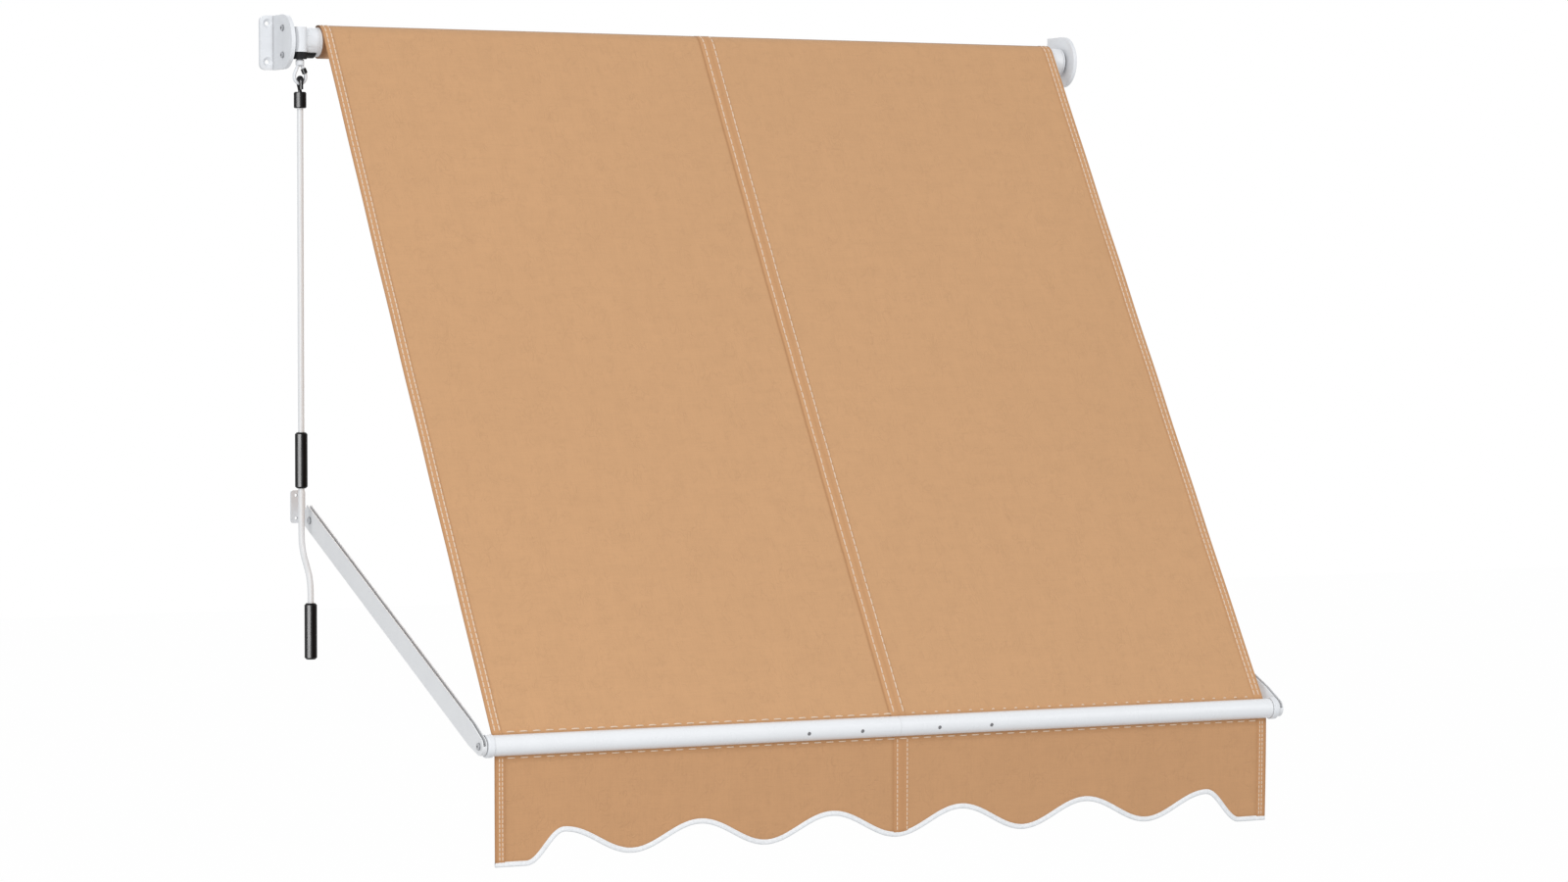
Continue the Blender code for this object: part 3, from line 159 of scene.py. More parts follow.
def ripple(x: Array, y: Array, seed: int, waves: int, low: float, high: float) -> Array:
    """Seeded uneven surface: the mean of sin(ax x + ay y + p) over waves with random directions.

    Args:
        x: first coordinate.
        y: second coordinate.
        seed: seed of the random directions and phases.
        waves: how many waves are added.
        low: lowest wave number, in radians a metre.
        high: highest wave number, in radians a metre.

    Returns:
        Heights between about -1 and 1.
    """
    chance = np.random.default_rng(seed)
    total = np.zeros(np.broadcast(x, y).shape)
    for _ in range(waves):
        size = chance.uniform(low, high)
        turn = chance.uniform(0.0, 2.0 * math.pi)
        phase = chance.uniform(0.0, 2.0 * math.pi)
        total += np.sin(size * (math.cos(turn) * x + math.sin(turn) * y) + phase)
    return total / math.sqrt(waves)


def grid_faces(rows: int, columns: int, start: int = 0, wrap: bool = False) -> Array:
    """Quads of a grid of points numbered row by row.

    Args:
        rows: number of rows of points.
        columns: number of points in a row.
        start: number of the first point.
        wrap: whether the last column joins the first.

    Returns:
        An array of four point numbers for each quad.
    """
    across = columns if wrap else columns - 1
    i, j = np.meshgrid(np.arange(rows - 1), np.arange(across), indexing="ij")
    k = (j + 1) % columns
    quads = np.stack((i * columns + j, i * columns + k, (i + 1) * columns + k, (i + 1) * columns + j), axis=-1)
    return quads.reshape(-1, 4) + start


def make_object(name: str, points: Array, faces: list, shading: Shading, uv: Array | None = None) -> Object:
    """Object at the origin from points and faces, with outward faces and an optional UV map in metres.

    Args:
        name: the piece's name.
        points: an array of points.
        faces: lists of point numbers.
        shading: how the mesh is shaded.
        uv: the UV place of each point.

    Returns:
        The new object.
    """
    mesh = bpy.data.meshes.new(name)
    mesh.from_pydata(points.tolist(), [], faces)
    work = bmesh.new()
    work.from_mesh(mesh)
    bmesh.ops.recalc_face_normals(work, faces=work.faces[:])
    work.to_mesh(mesh)
    work.free()
    if uv is not None:
        layer = mesh.uv_layers.new(name="Flat")
        corners = np.zeros(len(mesh.loops), dtype=np.int32)
        mesh.loops.foreach_get("vertex_index", corners)
        layer.data.foreach_set("uv", uv[corners].astype(np.float32).ravel())
    mesh.shade_smooth()
    if shading is not Shading.SMOOTH:
        mesh.set_sharp_from_angle(angle=math.radians(shading.value))
    mesh.update()
    made = bpy.data.objects.new(name, mesh)
    bpy.context.scene.collection.objects.link(made)
    return made


def sheet_mesh(name: str, outer: Array, inner: Array, uv: Array, marks: dict[str, Array]) -> Object:
    """Closed sheet between an outer and an inner grid of points of the same shape (rows, columns, 3).

    Args:
        name: the piece's name.
        outer: points of the outer face.
        inner: points of the inner face.
        uv: UV places of the same grid.
        marks: values on the same grid, kept as attributes of the points.

    Returns:
        The new object.
    """
    rows, columns = outer.shape[:2]
    count = rows * columns
    points = np.concatenate((outer.reshape(-1, 3), inner.reshape(-1, 3)))
    front = grid_faces(rows, columns)
    back = grid_faces(rows, columns, count)[:, ::-1]
    number = np.arange(count).reshape(rows, columns)
    rim = np.concatenate((number[0, :], number[1:, -1], number[-1, -2::-1], number[-2:0:-1, 0]))
    after = np.roll(rim, -1)
    side = np.stack((rim, rim + count, after + count, after), axis=-1)
    faces = np.concatenate((front, back, side)).tolist()
    both = np.concatenate((uv.reshape(-1, 2), uv.reshape(-1, 2)))
    made = make_object(name, points, faces, Shading.CLOTH, both)
    for word, level in marks.items():
        values = np.concatenate((level.ravel(), level.ravel())).astype(np.float32)
        made.data.attributes.new(word, "FLOAT", "POINT").data.foreach_set("value", values)
    return made


def stitch_mesh(
    name: str, places: Array, along: Array, up: Array, lengths: Array, half_width: float
) -> Object:
    """All the stitches of a piece: each is a short bowed thread whose ends go into the cloth.

    A thread's point is p + a L t + w r(a) (cos q) b + (h(a) + 0.6 w r(a) sin q) n, with a from -1/2 to 1/2,
    r = (1 - (2a)^4)^(1/2) and h = w (0.35 - (2a)^4).

    Args:
        name: the piece's name.
        places: middle of each stitch.
        along: unit direction of each stitch.
        up: unit normal of the cloth at each stitch.
        lengths: length of each stitch.
        half_width: half the thread's width.

    Returns:
        The new object.
    """
    stations = np.array((-0.5, -0.42, -0.22, 0.0, 0.22, 0.42, 0.5))
    sides = 8
    angles = 2.0 * math.pi * np.arange(sides) / sides
    thin = np.sqrt(np.clip(1.0 - (2.0 * stations) ** 4, 0.06, 1.0))
    rise = half_width * (0.35 - (2.0 * stations) ** 4)
    across = half_width * thin[:, None] * np.cos(angles)[None, :]
    height = rise[:, None] + 0.6 * half_width * thin[:, None] * np.sin(angles)[None, :]
    side = np.cross(up, along)
    run = stations[:, None] * np.ones(sides)[None, :]
    points = (
        places[:, None, None, :]
        + (lengths[:, None, None] * run[None])[..., None] * along[:, None, None, :]
        + across[None, ..., None] * side[:, None, None, :]
        + height[None, ..., None] * up[:, None, None, :]
    )
    size = len(stations) * sides
    body = grid_faces(len(stations), sides, 0, wrap=True)
    shift = (np.arange(len(places)) * size)[:, None, None]
    quads = (body[None] + shift).reshape(-1, 4).tolist()
    cap = np.stack((np.arange(sides)[::-1], np.arange(sides) + size - sides))
    caps = (cap[None] + shift).reshape(-1, sides).tolist()
    return make_object(name, points.reshape(-1, 3), quads + caps, Shading.SMOOTH)


# ---- finishes ----


class Nodes:
    """The node tree of a material or a world, with short ways to add and join nodes."""

    def __init__(self, owner: bpy.types.Material | bpy.types.World) -> None:
        """Start on the owner's own tree."""
        self.owner = owner
        owner.use_nodes = True
        self.tree = owner.node_tree
        self.shader = self.tree.nodes.get("Principled BSDF")

    def add(self, kind: str, inputs: dict | None = None, **settings: object) -> bpy.types.Node:
        """Add a node.

        Args:
            kind: the node's type without its ShaderNode prefix.
            inputs: socket name or number to a value or to an output socket.
            **settings: attributes of the node.

        Returns:
            The new node.
        """
        node = self.tree.nodes.new(f"ShaderNode{kind}")
        for key, value in settings.items():
            setattr(node, key, value)
        for key, value in (inputs or {}).items():
            self.put(node.inputs[key], value)
        return node

    def put(self, socket: Socket, value: object) -> None:
        """Set a socket to a value, or link an output socket to it."""
        if isinstance(value, Socket):
            self.tree.links.new(value, socket)
        else:
            socket.default_value = value

    def math(self, operation: str, first: object, second: object = 0.0, third: object = 0.0) -> Socket:
        """Result of a Math node."""
        return self.add("Math", {0: first, 1: second, 2: third}, operation=operation).outputs[0]

    def mix(self, share: object, first: object, second: object) -> Socket:
        """Colour mixed from the first to the second by the share."""
        node = self.add("Mix", data_type="RGBA")
        self.put(node.inputs[0], share)
        self.put(node.inputs[6], first)
        self.put(node.inputs[7], second)
        return node.outputs[2]

    def ramp(self, value: object, stops: list[tuple[float, float]]) -> Socket:
        """Grey ramp through (place, level) stops."""
        node = self.add("ValToRGB", {0: value})
        strip = node.color_ramp.elements
        while len(strip) < len(stops):
            strip.new(0.5)
        for element, (place, level) in zip(strip, stops):
            element.position = place
            element.color = (level, level, level, 1.0)
        return node.outputs[0]

    def blend(self, value: object, low: float, high: float, first: object, second: object) -> Socket:
        """Colour that goes from the first to the second as the value rises from low to high."""
        return self.mix(self.ramp(value, [(low, 0.0), (high, 1.0)]), first, second)

    def fade(self, value: object, start: float, end: float, first: float, last: float) -> Socket:
        """Level that goes smoothly from the first to the last as the value goes from start to end."""
        inputs = {"Value": value, "From Min": start, "From Max": end, "To Min": first, "To Max": last}
        return self.add("MapRange", inputs, interpolation_type="SMOOTHSTEP").outputs[0]

    def xyz(self, place: Socket) -> tuple[Socket, ...]:
        """The three coordinates of a place."""
        return tuple(self.add("SeparateXYZ", {0: place}).outputs)

    def object_place(self) -> Socket:
        """Object coordinates."""
        return self.add("TexCoord").outputs["Object"]

    def flat_place(self) -> Socket:
        """The cloth's own flat coordinates in metres."""
        return self.add("UVMap", uv_map="Flat").outputs[0]

    def stretched(self, place: Socket, scale: Triple, turn: float = 0.0) -> Socket:
        """Coordinates scaled by three factors and turned about Z."""
        node = self.add("Mapping", {0: place})
        node.inputs["Scale"].default_value = scale
        node.inputs["Rotation"].default_value = (0.0, 0.0, turn)
        return node.outputs[0]

    def noise(
        self, place: Socket, scale: float, detail: float = 3.0, rough: float = 0.5, twist: float = 0.0
    ) -> Socket:
        """Noise value around 0.5."""
        inputs = {"Vector": place, "Scale": scale, "Detail": detail, "Roughness": rough, "Distortion": twist}
        return self.add("TexNoise", inputs).outputs[0]

    def bump(self, height: object, strength: float, distance: float, normal: Socket | None = None) -> Socket:
        """Bumped normal, on top of an earlier one if it is given."""
        node = self.add("Bump", {"Height": height, "Strength": strength, "Distance": distance})
        if normal is not None:
            self.put(node.inputs["Normal"], normal)
        return node.outputs[0]

    def hollows(self, reach: float) -> Socket:
        """How open each place is, from 0 in a narrow hollow to 1 on a free face."""
        return self.add("AmbientOcclusion", {"Distance": reach}, samples=8, inside=False).outputs["AO"]

    def finish(self, colour: Socket, normal: Socket, roughness: object, **others: float) -> bpy.types.Material:
        """Fill in the shader.

        Args:
            colour: the base colour.
            normal: the bumped normal.
            roughness: a value or a socket.
            **others: values of other sockets, with _ for each space in their names.

        Returns:
            The material.
        """
        sockets = {"Base_Color": colour, "Normal": normal, "Roughness": roughness, **others}
        for key, value in sockets.items():
            self.put(self.shader.inputs[key.replace("_", " ")], value)
        return self.owner


def tint(colour: Triple, share: float) -> tuple[float, float, float, float]:
    """The colour times a share, with alpha 1."""
    return tuple(min(1.0, c * share) for c in colour) + (1.0,)


@dataclass(frozen=True)
class Finish:
    """A finish with its material's name and its main colour."""

    name: str
    colour: Triple

    def nodes(self) -> Nodes:
        """A new material's nodes."""
        return Nodes(bpy.data.materials.new(self.name))

    def make(self) -> bpy.types.Material:
        """Build the material."""
        raise NotImplementedError


@dataclass(frozen=True)
class Canvas(Finish):
    """Coated plain-weave canvas: slubs and patches; painted shade in creases, where doubled, by edges and
    seams, and over the roll.
    """

    roughness: float = 0.80
    thread: float = 0.0009
    over_roll: bool = False

    def weave(self, n: Nodes, place: Socket) -> Socket:
        """Height of the plain weave: sin(pi x / t) sin(pi y / t), with t the space between threads."""
        waves = [n.math("SINE", n.math("MULTIPLY", part, math.pi / self.thread)) for part in n.xyz(place)[:2]]
        return n.math("MULTIPLY", *waves)

    def patches(self, n: Nodes, place: Socket) -> Socket:
        """Cloth colour with broad clouds, patches along both threads and small blots."""
        broad = n.noise(place, 2.4, 3.0, 0.55)
        across = n.noise(n.stretched(place, (16.0, 54.0, 1.0)), 1.0, 3.0, 0.55)
        along = n.noise(n.stretched(place, (54.0, 16.0, 1.0)), 1.0, 3.0, 0.55)
        blots = n.noise(place, 88.0, 3.0, 0.55, 0.5)
        colour = n.blend(broad, 0.32, 0.68, tint(self.colour, 0.980), tint(self.colour, 1.012))
        crossed = n.math("MULTIPLY_ADD", across, 0.5, n.math("MULTIPLY", along, 0.5))
        patch = n.ramp(crossed, [(0.40, 0.36), (0.58, 0.0)])
        colour = n.mix(patch, colour, tint(self.colour, 0.90))
        return n.mix(n.ramp(blots, [(0.56, 0.0), (0.74, 0.40)]), colour, tint(self.colour, 0.86))

    def wrinkles(self, n: Nodes, place: Socket) -> Socket:
        """Short curled wrinkles: thin bands where a twisted noise passes its middle, in scattered places."""
        marks = n.noise(n.stretched(place, (1.0, 0.7, 1.0), 0.5), 58.0, 1.6, 0.5, 1.2)
        away = n.math("ABSOLUTE", n.math("SUBTRACT", marks, 0.50))
        band = n.ramp(away, [(0.0, 1.0), (0.020, 0.55), (0.042, 0.0)])
        where = n.ramp(n.noise(place, 31.0, 2.0, 0.5), [(0.44, 0.0), (0.60, 1.0)])
        return n.math("MULTIPLY", band, where)

    def make(self) -> bpy.types.Material:
        """Build the material."""
        n = self.nodes()
        place = n.flat_place()
        woven = self.weave(n, place)
        slub_across = n.noise(n.stretched(place, (26.0, 760.0, 26.0)), 1.0, 2.0, 0.5)
        slub_along = n.noise(n.stretched(place, (760.0, 26.0, 760.0)), 1.0, 2.0, 0.5)
        slubs = n.math("MULTIPLY_ADD", slub_across, 0.5, n.math("MULTIPLY", slub_along, 0.5))
        colour = self.patches(n, place)
        colour = n.mix(n.ramp(slubs, [(0.40, 0.22), (0.52, 0.0)]), colour, tint(self.colour, 0.80))
        colour = n.mix(n.math("MULTIPLY_ADD", woven, -0.09, 0.09), colour, tint(self.colour, 0.66))
        # Painted shade where the cloth is doubled: darker and richer, for less light through two layers.
        doubled = n.math("SUBTRACT", n.add("Attribute", attribute_name="Layers").outputs["Fac"], 1.0)
        rich = (self.colour[0] * 0.955, self.colour[1] * 0.90, self.colour[2] * 0.85, 1.0)
        colour = n.mix(n.math("MULTIPLY", doubled, 0.75), colour, rich)
        creased = self.wrinkles(n, place)
        # Painted shade in the creases: the wrinkle bands darken the colour as well as the bump.
        colour = n.mix(n.math("MULTIPLY", creased, 0.20), colour, tint(self.colour, 0.80))
        # Painted shade: the cloth's painted-shade lines darken the colour towards a deep tan.
        painted_shade = n.add("Attribute", attribute_name="PaintedShade").outputs["Fac"]
        dark = (self.colour[0] * 0.60, self.colour[1] * 0.52, self.colour[2] * 0.44, 1.0)
        colour = n.mix(painted_shade, colour, dark)
        if self.over_roll:
            # Painted shade: a dark brown line where the cloth turns over the top of the roll.
            grime_and_painted_shade = n.fade(n.xyz(place)[1], -0.0212, -0.0125, 0.92, 0.0)
            colour = n.mix(grime_and_painted_shade, colour, (0.22, 0.14, 0.09, 1.0))
        normal = n.bump(n.noise(place, 9.0, 2.0, 0.5), 0.16, 0.006)
        normal = n.bump(creased, 0.35, 0.0009, normal)
        normal = n.bump(slubs, 0.30, 0.0004, normal)
        normal = n.bump(woven, 0.30, 0.0002, normal)
        rough = n.math("MULTIPLY_ADD", slubs, 0.18, self.roughness - 0.09)
        return n.finish(colour, normal, rough, Sheen_Weight=0.06, Sheen_Roughness=0.55, Specular_IOR_Level=0.25)


@dataclass(frozen=True)
class RolledCanvas(Finish):
    """Canvas wound on the roller: weave round the roll, the turns' edges as thin rings on its ends, and painted
    shade on its top and by its ends.
    """

    def make(self) -> bpy.types.Material:
        """Build the material."""
        n = self.nodes()
        place = n.add("Mapping", {0: n.object_place(), "Location": (0.0, float(-ROLLER[1]), 0.0)}).outputs[0]
        x, y, z = n.xyz(place)
        radius = n.math("SQRT", n.math("ADD", n.math("MULTIPLY", y, y), n.math("MULTIPLY", z, z)))
        turn = n.math("FRACT", n.math("DIVIDE", radius, CLOTH))
        ring = n.ramp(turn, [(0.0, 1.0), (0.22, 0.0), (0.80, 0.0), (1.0, 1.0)])
        side = n.math("ABSOLUTE", n.math("ADD", x, ROLL_SHIFT))
        flat_end = n.math("GREATER_THAN", side, HALF_WIDTH - 0.0001)
        cloudy = n.noise(place, 60.0, 4.0, 0.6, 0.5)
        fine = n.noise(n.stretched(place, (30.0, 900.0, 900.0)), 1.0, 2.0)
        colour = n.blend(cloudy, 0.35, 0.65, tint(self.colour, 0.92), tint(self.colour, 1.02))
        edges = n.math("MULTIPLY", n.math("MULTIPLY", ring, flat_end), 0.6)
        colour = n.mix(edges, colour, tint(self.colour, 0.30))
        # Painted shade: darker brown towards the top of the roll.
        colour = n.mix(n.fade(z, 0.0150, 0.0235, 0.0, 0.70), colour, (0.30, 0.19, 0.115, 1.0))
        # Painted shadow: dark brown next to both ends of the roll, beside the end rings.
        rim = n.fade(side, HALF_WIDTH - 0.0150, HALF_WIDTH - 0.0015, 0.0, 0.80)
        colour = n.mix(rim, colour, (0.17, 0.070, 0.026, 1.0))
        rough = n.math("MULTIPLY_ADD", cloudy, 0.15, 0.76)
        return n.finish(colour, n.bump(fine, 0.3, 0.0004), rough, Sheen_Weight=0.10)


@dataclass(frozen=True)
class Paint(Finish):
    """Powder coat on metal: fine orange peel, a little dust and unevenness in its gloss."""

    roughness: float = 0.34
    peel: float = 0.06
    drawn: Axis | None = None

    def make(self) -> bpy.types.Material:
        """Build the material."""
        n = self.nodes()
        place = n.object_place()
        peel = n.noise(place, 520.0, 2.0, 0.5)
        dust = n.noise(place, 26.0, 5.0, 0.6, 0.3)
        colour = n.blend(dust, 0.38, 0.70, tint(self.colour, 1.0), tint(self.colour, 0.975))
        normal = n.bump(peel, self.peel, 0.0002)
        if self.drawn is not None:
            scale = [1100.0, 1100.0, 1100.0]
            scale[self.drawn.value] = 3.0
            normal = n.bump(n.noise(n.stretched(place, tuple(scale)), 1.0, 1.0), 0.02, 0.0003, normal)
        rough = n.math("MULTIPLY_ADD", dust, 0.16, self.roughness - 0.08)
        return n.finish(colour, normal, rough, Coat_Weight=0.15, Coat_Roughness=0.22)


@dataclass(frozen=True)
class Casting(Finish):
    """Coated die casting: pebbled skin, softly rubbed, with painted shade in its hollows."""

    roughness: float = 0.46

    def make(self) -> bpy.types.Material:
        """Build the material."""
        n = self.nodes()
        place = n.object_place()
        pebble = n.add("TexVoronoi", {"Vector": place, "Scale": 850.0}, feature="SMOOTH_F1")
        wave = n.noise(place, 90.0, 4.0, 0.55)
        grime_and_painted_shade = n.noise(place, 34.0, 5.0, 0.65, 0.4)
        colour = n.blend(grime_and_painted_shade, 0.40, 0.72, tint(self.colour, 1.0), tint(self.colour, 0.93))
        # Painted shade: much greyer in narrow hollows, from ambient occlusion.
        colour = n.mix(n.ramp(n.hollows(0.006), [(0.30, 0.92), (0.80, 0.0)]), colour, tint(self.colour, 0.30))
        normal = n.bump(wave, 0.12, 0.0008)
        normal = n.bump(pebble.outputs["Distance"], 0.16, 0.0002, normal)
        return n.finish(colour, normal, n.math("MULTIPLY_ADD", grime_and_painted_shade, 0.20, self.roughness - 0.10))


@dataclass(frozen=True)
class Moulded(Finish):
    """Black moulded plastic: fine spark texture, with slightly shinier rubbed patches."""

    roughness: float = 0.36
    grain: float = 0.20

    def make(self) -> bpy.types.Material:
        """Build the material."""
        n = self.nodes()
        place = n.object_place()
        spark = n.noise(place, 1600.0, 2.0, 0.55)
        rub = n.noise(n.stretched(place, (90.0, 90.0, 22.0)), 1.0, 4.0, 0.6)
        colour = n.blend(rub, 0.42, 0.72, tint(self.colour, 1.0), tint(self.colour, 1.7))
        rough = n.math("MULTIPLY_ADD", rub, 0.26, self.roughness - 0.13)
        return n.finish(colour, n.bump(spark, self.grain, 0.0002), rough, IOR=1.2, Specular_IOR_Level=0.60)


@dataclass(frozen=True)
class Plated(Finish):
    """Plated or bare metal with fine turning marks and dull blotches, with painted shade in its hollows."""

    roughness: float = 0.30
    metal: float = 1.0
    lines: Triple = (1400.0, 60.0, 60.0)

    def make(self) -> bpy.types.Material:
        """Build the material."""
        n = self.nodes()
        place = n.object_place()
        lines = n.noise(n.stretched(place, self.lines), 1.0, 2.0)
        blotch = n.noise(place, 120.0, 4.0, 0.6, 0.5)
        colour = n.blend(blotch, 0.35, 0.70, tint(self.colour, 1.05), tint(self.colour, 0.80))
        # Painted shade: much darker in narrow hollows, from ambient occlusion.
        colour = n.mix(n.ramp(n.hollows(0.003), [(0.30, 0.85), (0.80, 0.0)]), colour, tint(self.colour, 0.12))
        rough = n.math("MULTIPLY_ADD", blotch, 0.22, self.roughness - 0.11)
        return n.finish(colour, n.bump(lines, 0.18, 0.0002), rough, Metallic=self.metal)


@dataclass(frozen=True)
class Thread(Finish):
    """Twisted sewing thread: slanting strands along the stitch and a soft sheen."""

    def make(self) -> bpy.types.Material:
        """Build the material."""
        n = self.nodes()
        place = n.object_place()
        x, y, z = n.xyz(place)
        strand = n.math("SINE", n.math("MULTIPLY", n.math("ADD", n.math("ADD", x, y), z), 5200.0))
        lint = n.noise(place, 700.0, 3.0, 0.6)
        colour = n.blend(lint, 0.35, 0.70, tint(self.colour, 0.88), tint(self.colour, 1.0))
        return n.finish(colour, n.bump(strand, 0.35, 0.0002), 0.62, Sheen_Weight=0.25)


@dataclass(frozen=True)
class Binding(Finish):
    """White woven tape: ribs across it, fine threads along it and faint grubby patches."""

    rib: float = 0.0011
    thread: float = 0.0007

    def make(self) -> bpy.types.Material:
        """Build the material."""
        n = self.nodes()
        x, y, _ = n.xyz(n.flat_place())
        ribs = n.math("SINE", n.math("MULTIPLY", x, 2.0 * math.pi / self.rib))
        cross = n.math("SINE", n.math("MULTIPLY", y, 2.0 * math.pi / self.thread))
        lint = n.noise(n.object_place(), 180.0, 4.0, 0.6)
        colour = n.blend(lint, 0.35, 0.72, tint(self.colour, 1.0), tint(self.colour, 0.90))
        normal = n.bump(cross, 0.20, 0.00015, n.bump(ribs, 0.35, 0.00025))
        return n.finish(colour, normal, 0.78, Sheen_Weight=0.15)


@dataclass(frozen=True)
class Palette:
    """Every finish of the awning."""

    tan: Triple = (0.612, 0.345, 0.173)
    # Valance colour: the canopy's tan made darker as painted shade for a hanging cloth.
    tan_in_painted_shade: Triple = (0.575, 0.312, 0.152)
    white: Triple = (0.83, 0.835, 0.85)

    def finishes(self) -> Finishes:
        """Build the materials, by a short name each."""
        made = {
            "canopy": Canvas("tan canopy canvas", self.tan, over_roll=True),
            "valance": Canvas("tan valance canvas", self.tan_in_painted_shade),
            "rolled": RolledCanvas("rolled tan canvas", self.tan),
            "bar": Paint("bar white coat", (0.800, 0.806, 0.820), 0.27, 0.05, drawn=Axis.X),
            "arm": Paint("arm white coat", (0.785, 0.787, 0.795), 0.38),
            "rod": Paint("rod white coat", (0.775, 0.777, 0.782), 0.30, drawn=Axis.Z),
            "cast": Casting("white casting", (0.78, 0.79, 0.81)),
            "black": Moulded("black grip plastic", (0.003, 0.003, 0.0035), 0.33, 0.06),
            "cover": Moulded("black cover plastic", (0.012, 0.012, 0.013), 0.46, 0.30),
            "wire": Moulded("black coated wire", (0.007, 0.007, 0.008), 0.30, 0.10),
            "zinc": Plated("zinc plate", (0.46, 0.47, 0.49)),
            "dark": Plated("dark screw steel", (0.20, 0.20, 0.21), 0.40),
            "alloy": Plated("bare alloy", (0.74, 0.75, 0.77), 0.34, lines=(4.0, 1200.0, 1200.0)),
            "brass": Plated("cut brass", (0.74, 0.53, 0.22), 0.32),
            "cord": Paint("white cord", (0.78, 0.78, 0.78), 0.42, 0.05),
            "thread": Thread("cream sewing thread", (0.79, 0.600, 0.440)),
            "binding": Binding("white binding tape", (0.86, 0.865, 0.875)),
        }
        return {key: value.make() for key, value in made.items()}


# ---- sewing ----


@dataclass
class SewingRow:
    """One row of stitches on a cloth, from start to end in the cloth's flat coordinates."""

    start: tuple[float, float]
    end: tuple[float, float]
    pitch: float
    stitch: float

    def places(self) -> tuple[Array, Array]:
        """Flat places of the stitches' two ends: start + (i + 1/2 -+ share / 2) step, for i from 0 to n - 1."""
        first = np.array(self.start)
        run = np.array(self.end) - first
        length = float(np.linalg.norm(run))
        count = max(1, round(length / self.pitch))
        middle = (np.arange(count) + 0.5) / count
        half = 0.5 * self.stitch / length
        return first + (middle - half)[:, None] * run, first + (middle + half)[:, None] * run


@dataclass
class Cloth:
    """A cloth of full width with hems and a lapped seam, whose faces are functions of two flat coordinates."""

    hem: float
    hem_rows: tuple[float, float]
    lap: tuple[float, float]
    seam_rows: tuple[float, float]

    def face(self, x: Array, s: Array, outer: bool) -> Array:
        """Points of the outer or inner face."""
        raise NotImplementedError

    def painted_shade(self, x: Array, s: Array) -> Array:
        """Share of painted shade."""
        raise NotImplementedError

    def thickness(self, x: Array, off: Array, end: Array) -> Array:
        """Layers of cloth: one, and a second on the hems, on the lap and, as far as given, at the bar.

        Args:
            x: places across the cloth.
            off: distances from the seam's middle.
            end: share of a second layer at the bar.

        Returns:
            The number of layers at each place.
        """
        lap = step_up(off, self.lap[0], FOLD) * (1.0 - step_up(off, self.lap[1], FOLD))
        hems = step_up(np.abs(x), HALF_WIDTH - self.hem, FOLD)
        return 1.0 + np.maximum(np.maximum(lap, hems), end)

    def pulled(self, x: Array, off: Array) -> Array:
        """How far the threads pull the cloth in, as a share: a soft line on each sewn row."""
        rim = HALF_WIDTH - np.abs(x)
        rows = [off - row for row in self.seam_rows] + [rim - row for row in self.hem_rows]
        return sum(line_at(row, TROUGH) for row in rows)

    def fold_places(self, middle: float, stations: Array) -> Array:
        """Places beside the folds, and at the stations round the sewn rows, for a seam at the middle."""
        sides = np.array((-1.0, 1.0))[:, None]
        folds = np.append(sides * (HALF_WIDTH - self.hem), middle + np.array(self.lap))
        rows = np.append(sides * (HALF_WIDTH - np.array(self.hem_rows)), middle + np.array(self.seam_rows))
        return np.append(folds[:, None] + np.linspace(-0.0006, 0.0006, 4), rows[:, None] + stations)

    def hem_stitches(self, start: float, end: float, size: tuple[float, float]) -> list[SewingRow]:
        """Rows down both hems from start to end, with a pitch and a stitch length."""
        places = [side * (HALF_WIDTH - gap) for side in (-1, 1) for gap in self.hem_rows]
        return [SewingRow((place, start), (place, end), *size) for place in places]

    def seam_stitches(self, top: tuple, foot: tuple, size: tuple[float, float]) -> list[SewingRow]:
        """Rows on both sides of the seam, whose middle runs from the top to the foot."""
        return [SewingRow((top[0] + gap, top[1]), (foot[0] + gap, foot[1]), *size) for gap in self.seam_rows]

    def closed(self, name: str, x: Array, s: Array, layers: Array) -> Object:
        """Closed sheet over a grid of flat places, marked with its layers and its painted shade."""
        marks = {"Layers": layers, "PaintedShade": self.painted_shade(x, s)}
        return sheet_mesh(name, self.face(x, s, True), self.face(x, s, False), np.stack((x, s), axis=-1), marks)

    def sew(self, name: str, rows: list[SewingRow], half_width: float) -> Object:
        """Stitches of the rows on both faces.

        Args:
            name: the piece's name.
            rows: the rows of stitches.
            half_width: half the thread's width.

        Returns:
            The stitches as one object.
        """
        begin, finish = (np.concatenate(part) for part in zip(*(row.places() for row in rows)))
        places, along, up, lengths = [], [], [], []
        for outer in (True, False):
            a = self.face(begin[:, 0], begin[:, 1], outer)
            b = self.face(finish[:, 0], finish[:, 1], outer)
            other = self.face(*(((begin + finish) / 2.0).T), not outer)
            run = b - a
            size = np.linalg.norm(run, axis=1)
            direction = run / size[:, None]
            middle = (a + b) / 2.0
            away = middle - other
            away -= (away * direction).sum(axis=1, keepdims=True) * direction
            away /= np.linalg.norm(away, axis=1, keepdims=True)
            places.append(middle)
            along.append(direction)
            up.append(away)
            lengths.append(size)
        return stitch_mesh(name, *(np.concatenate(part) for part in (places, along, up, lengths)), half_width)


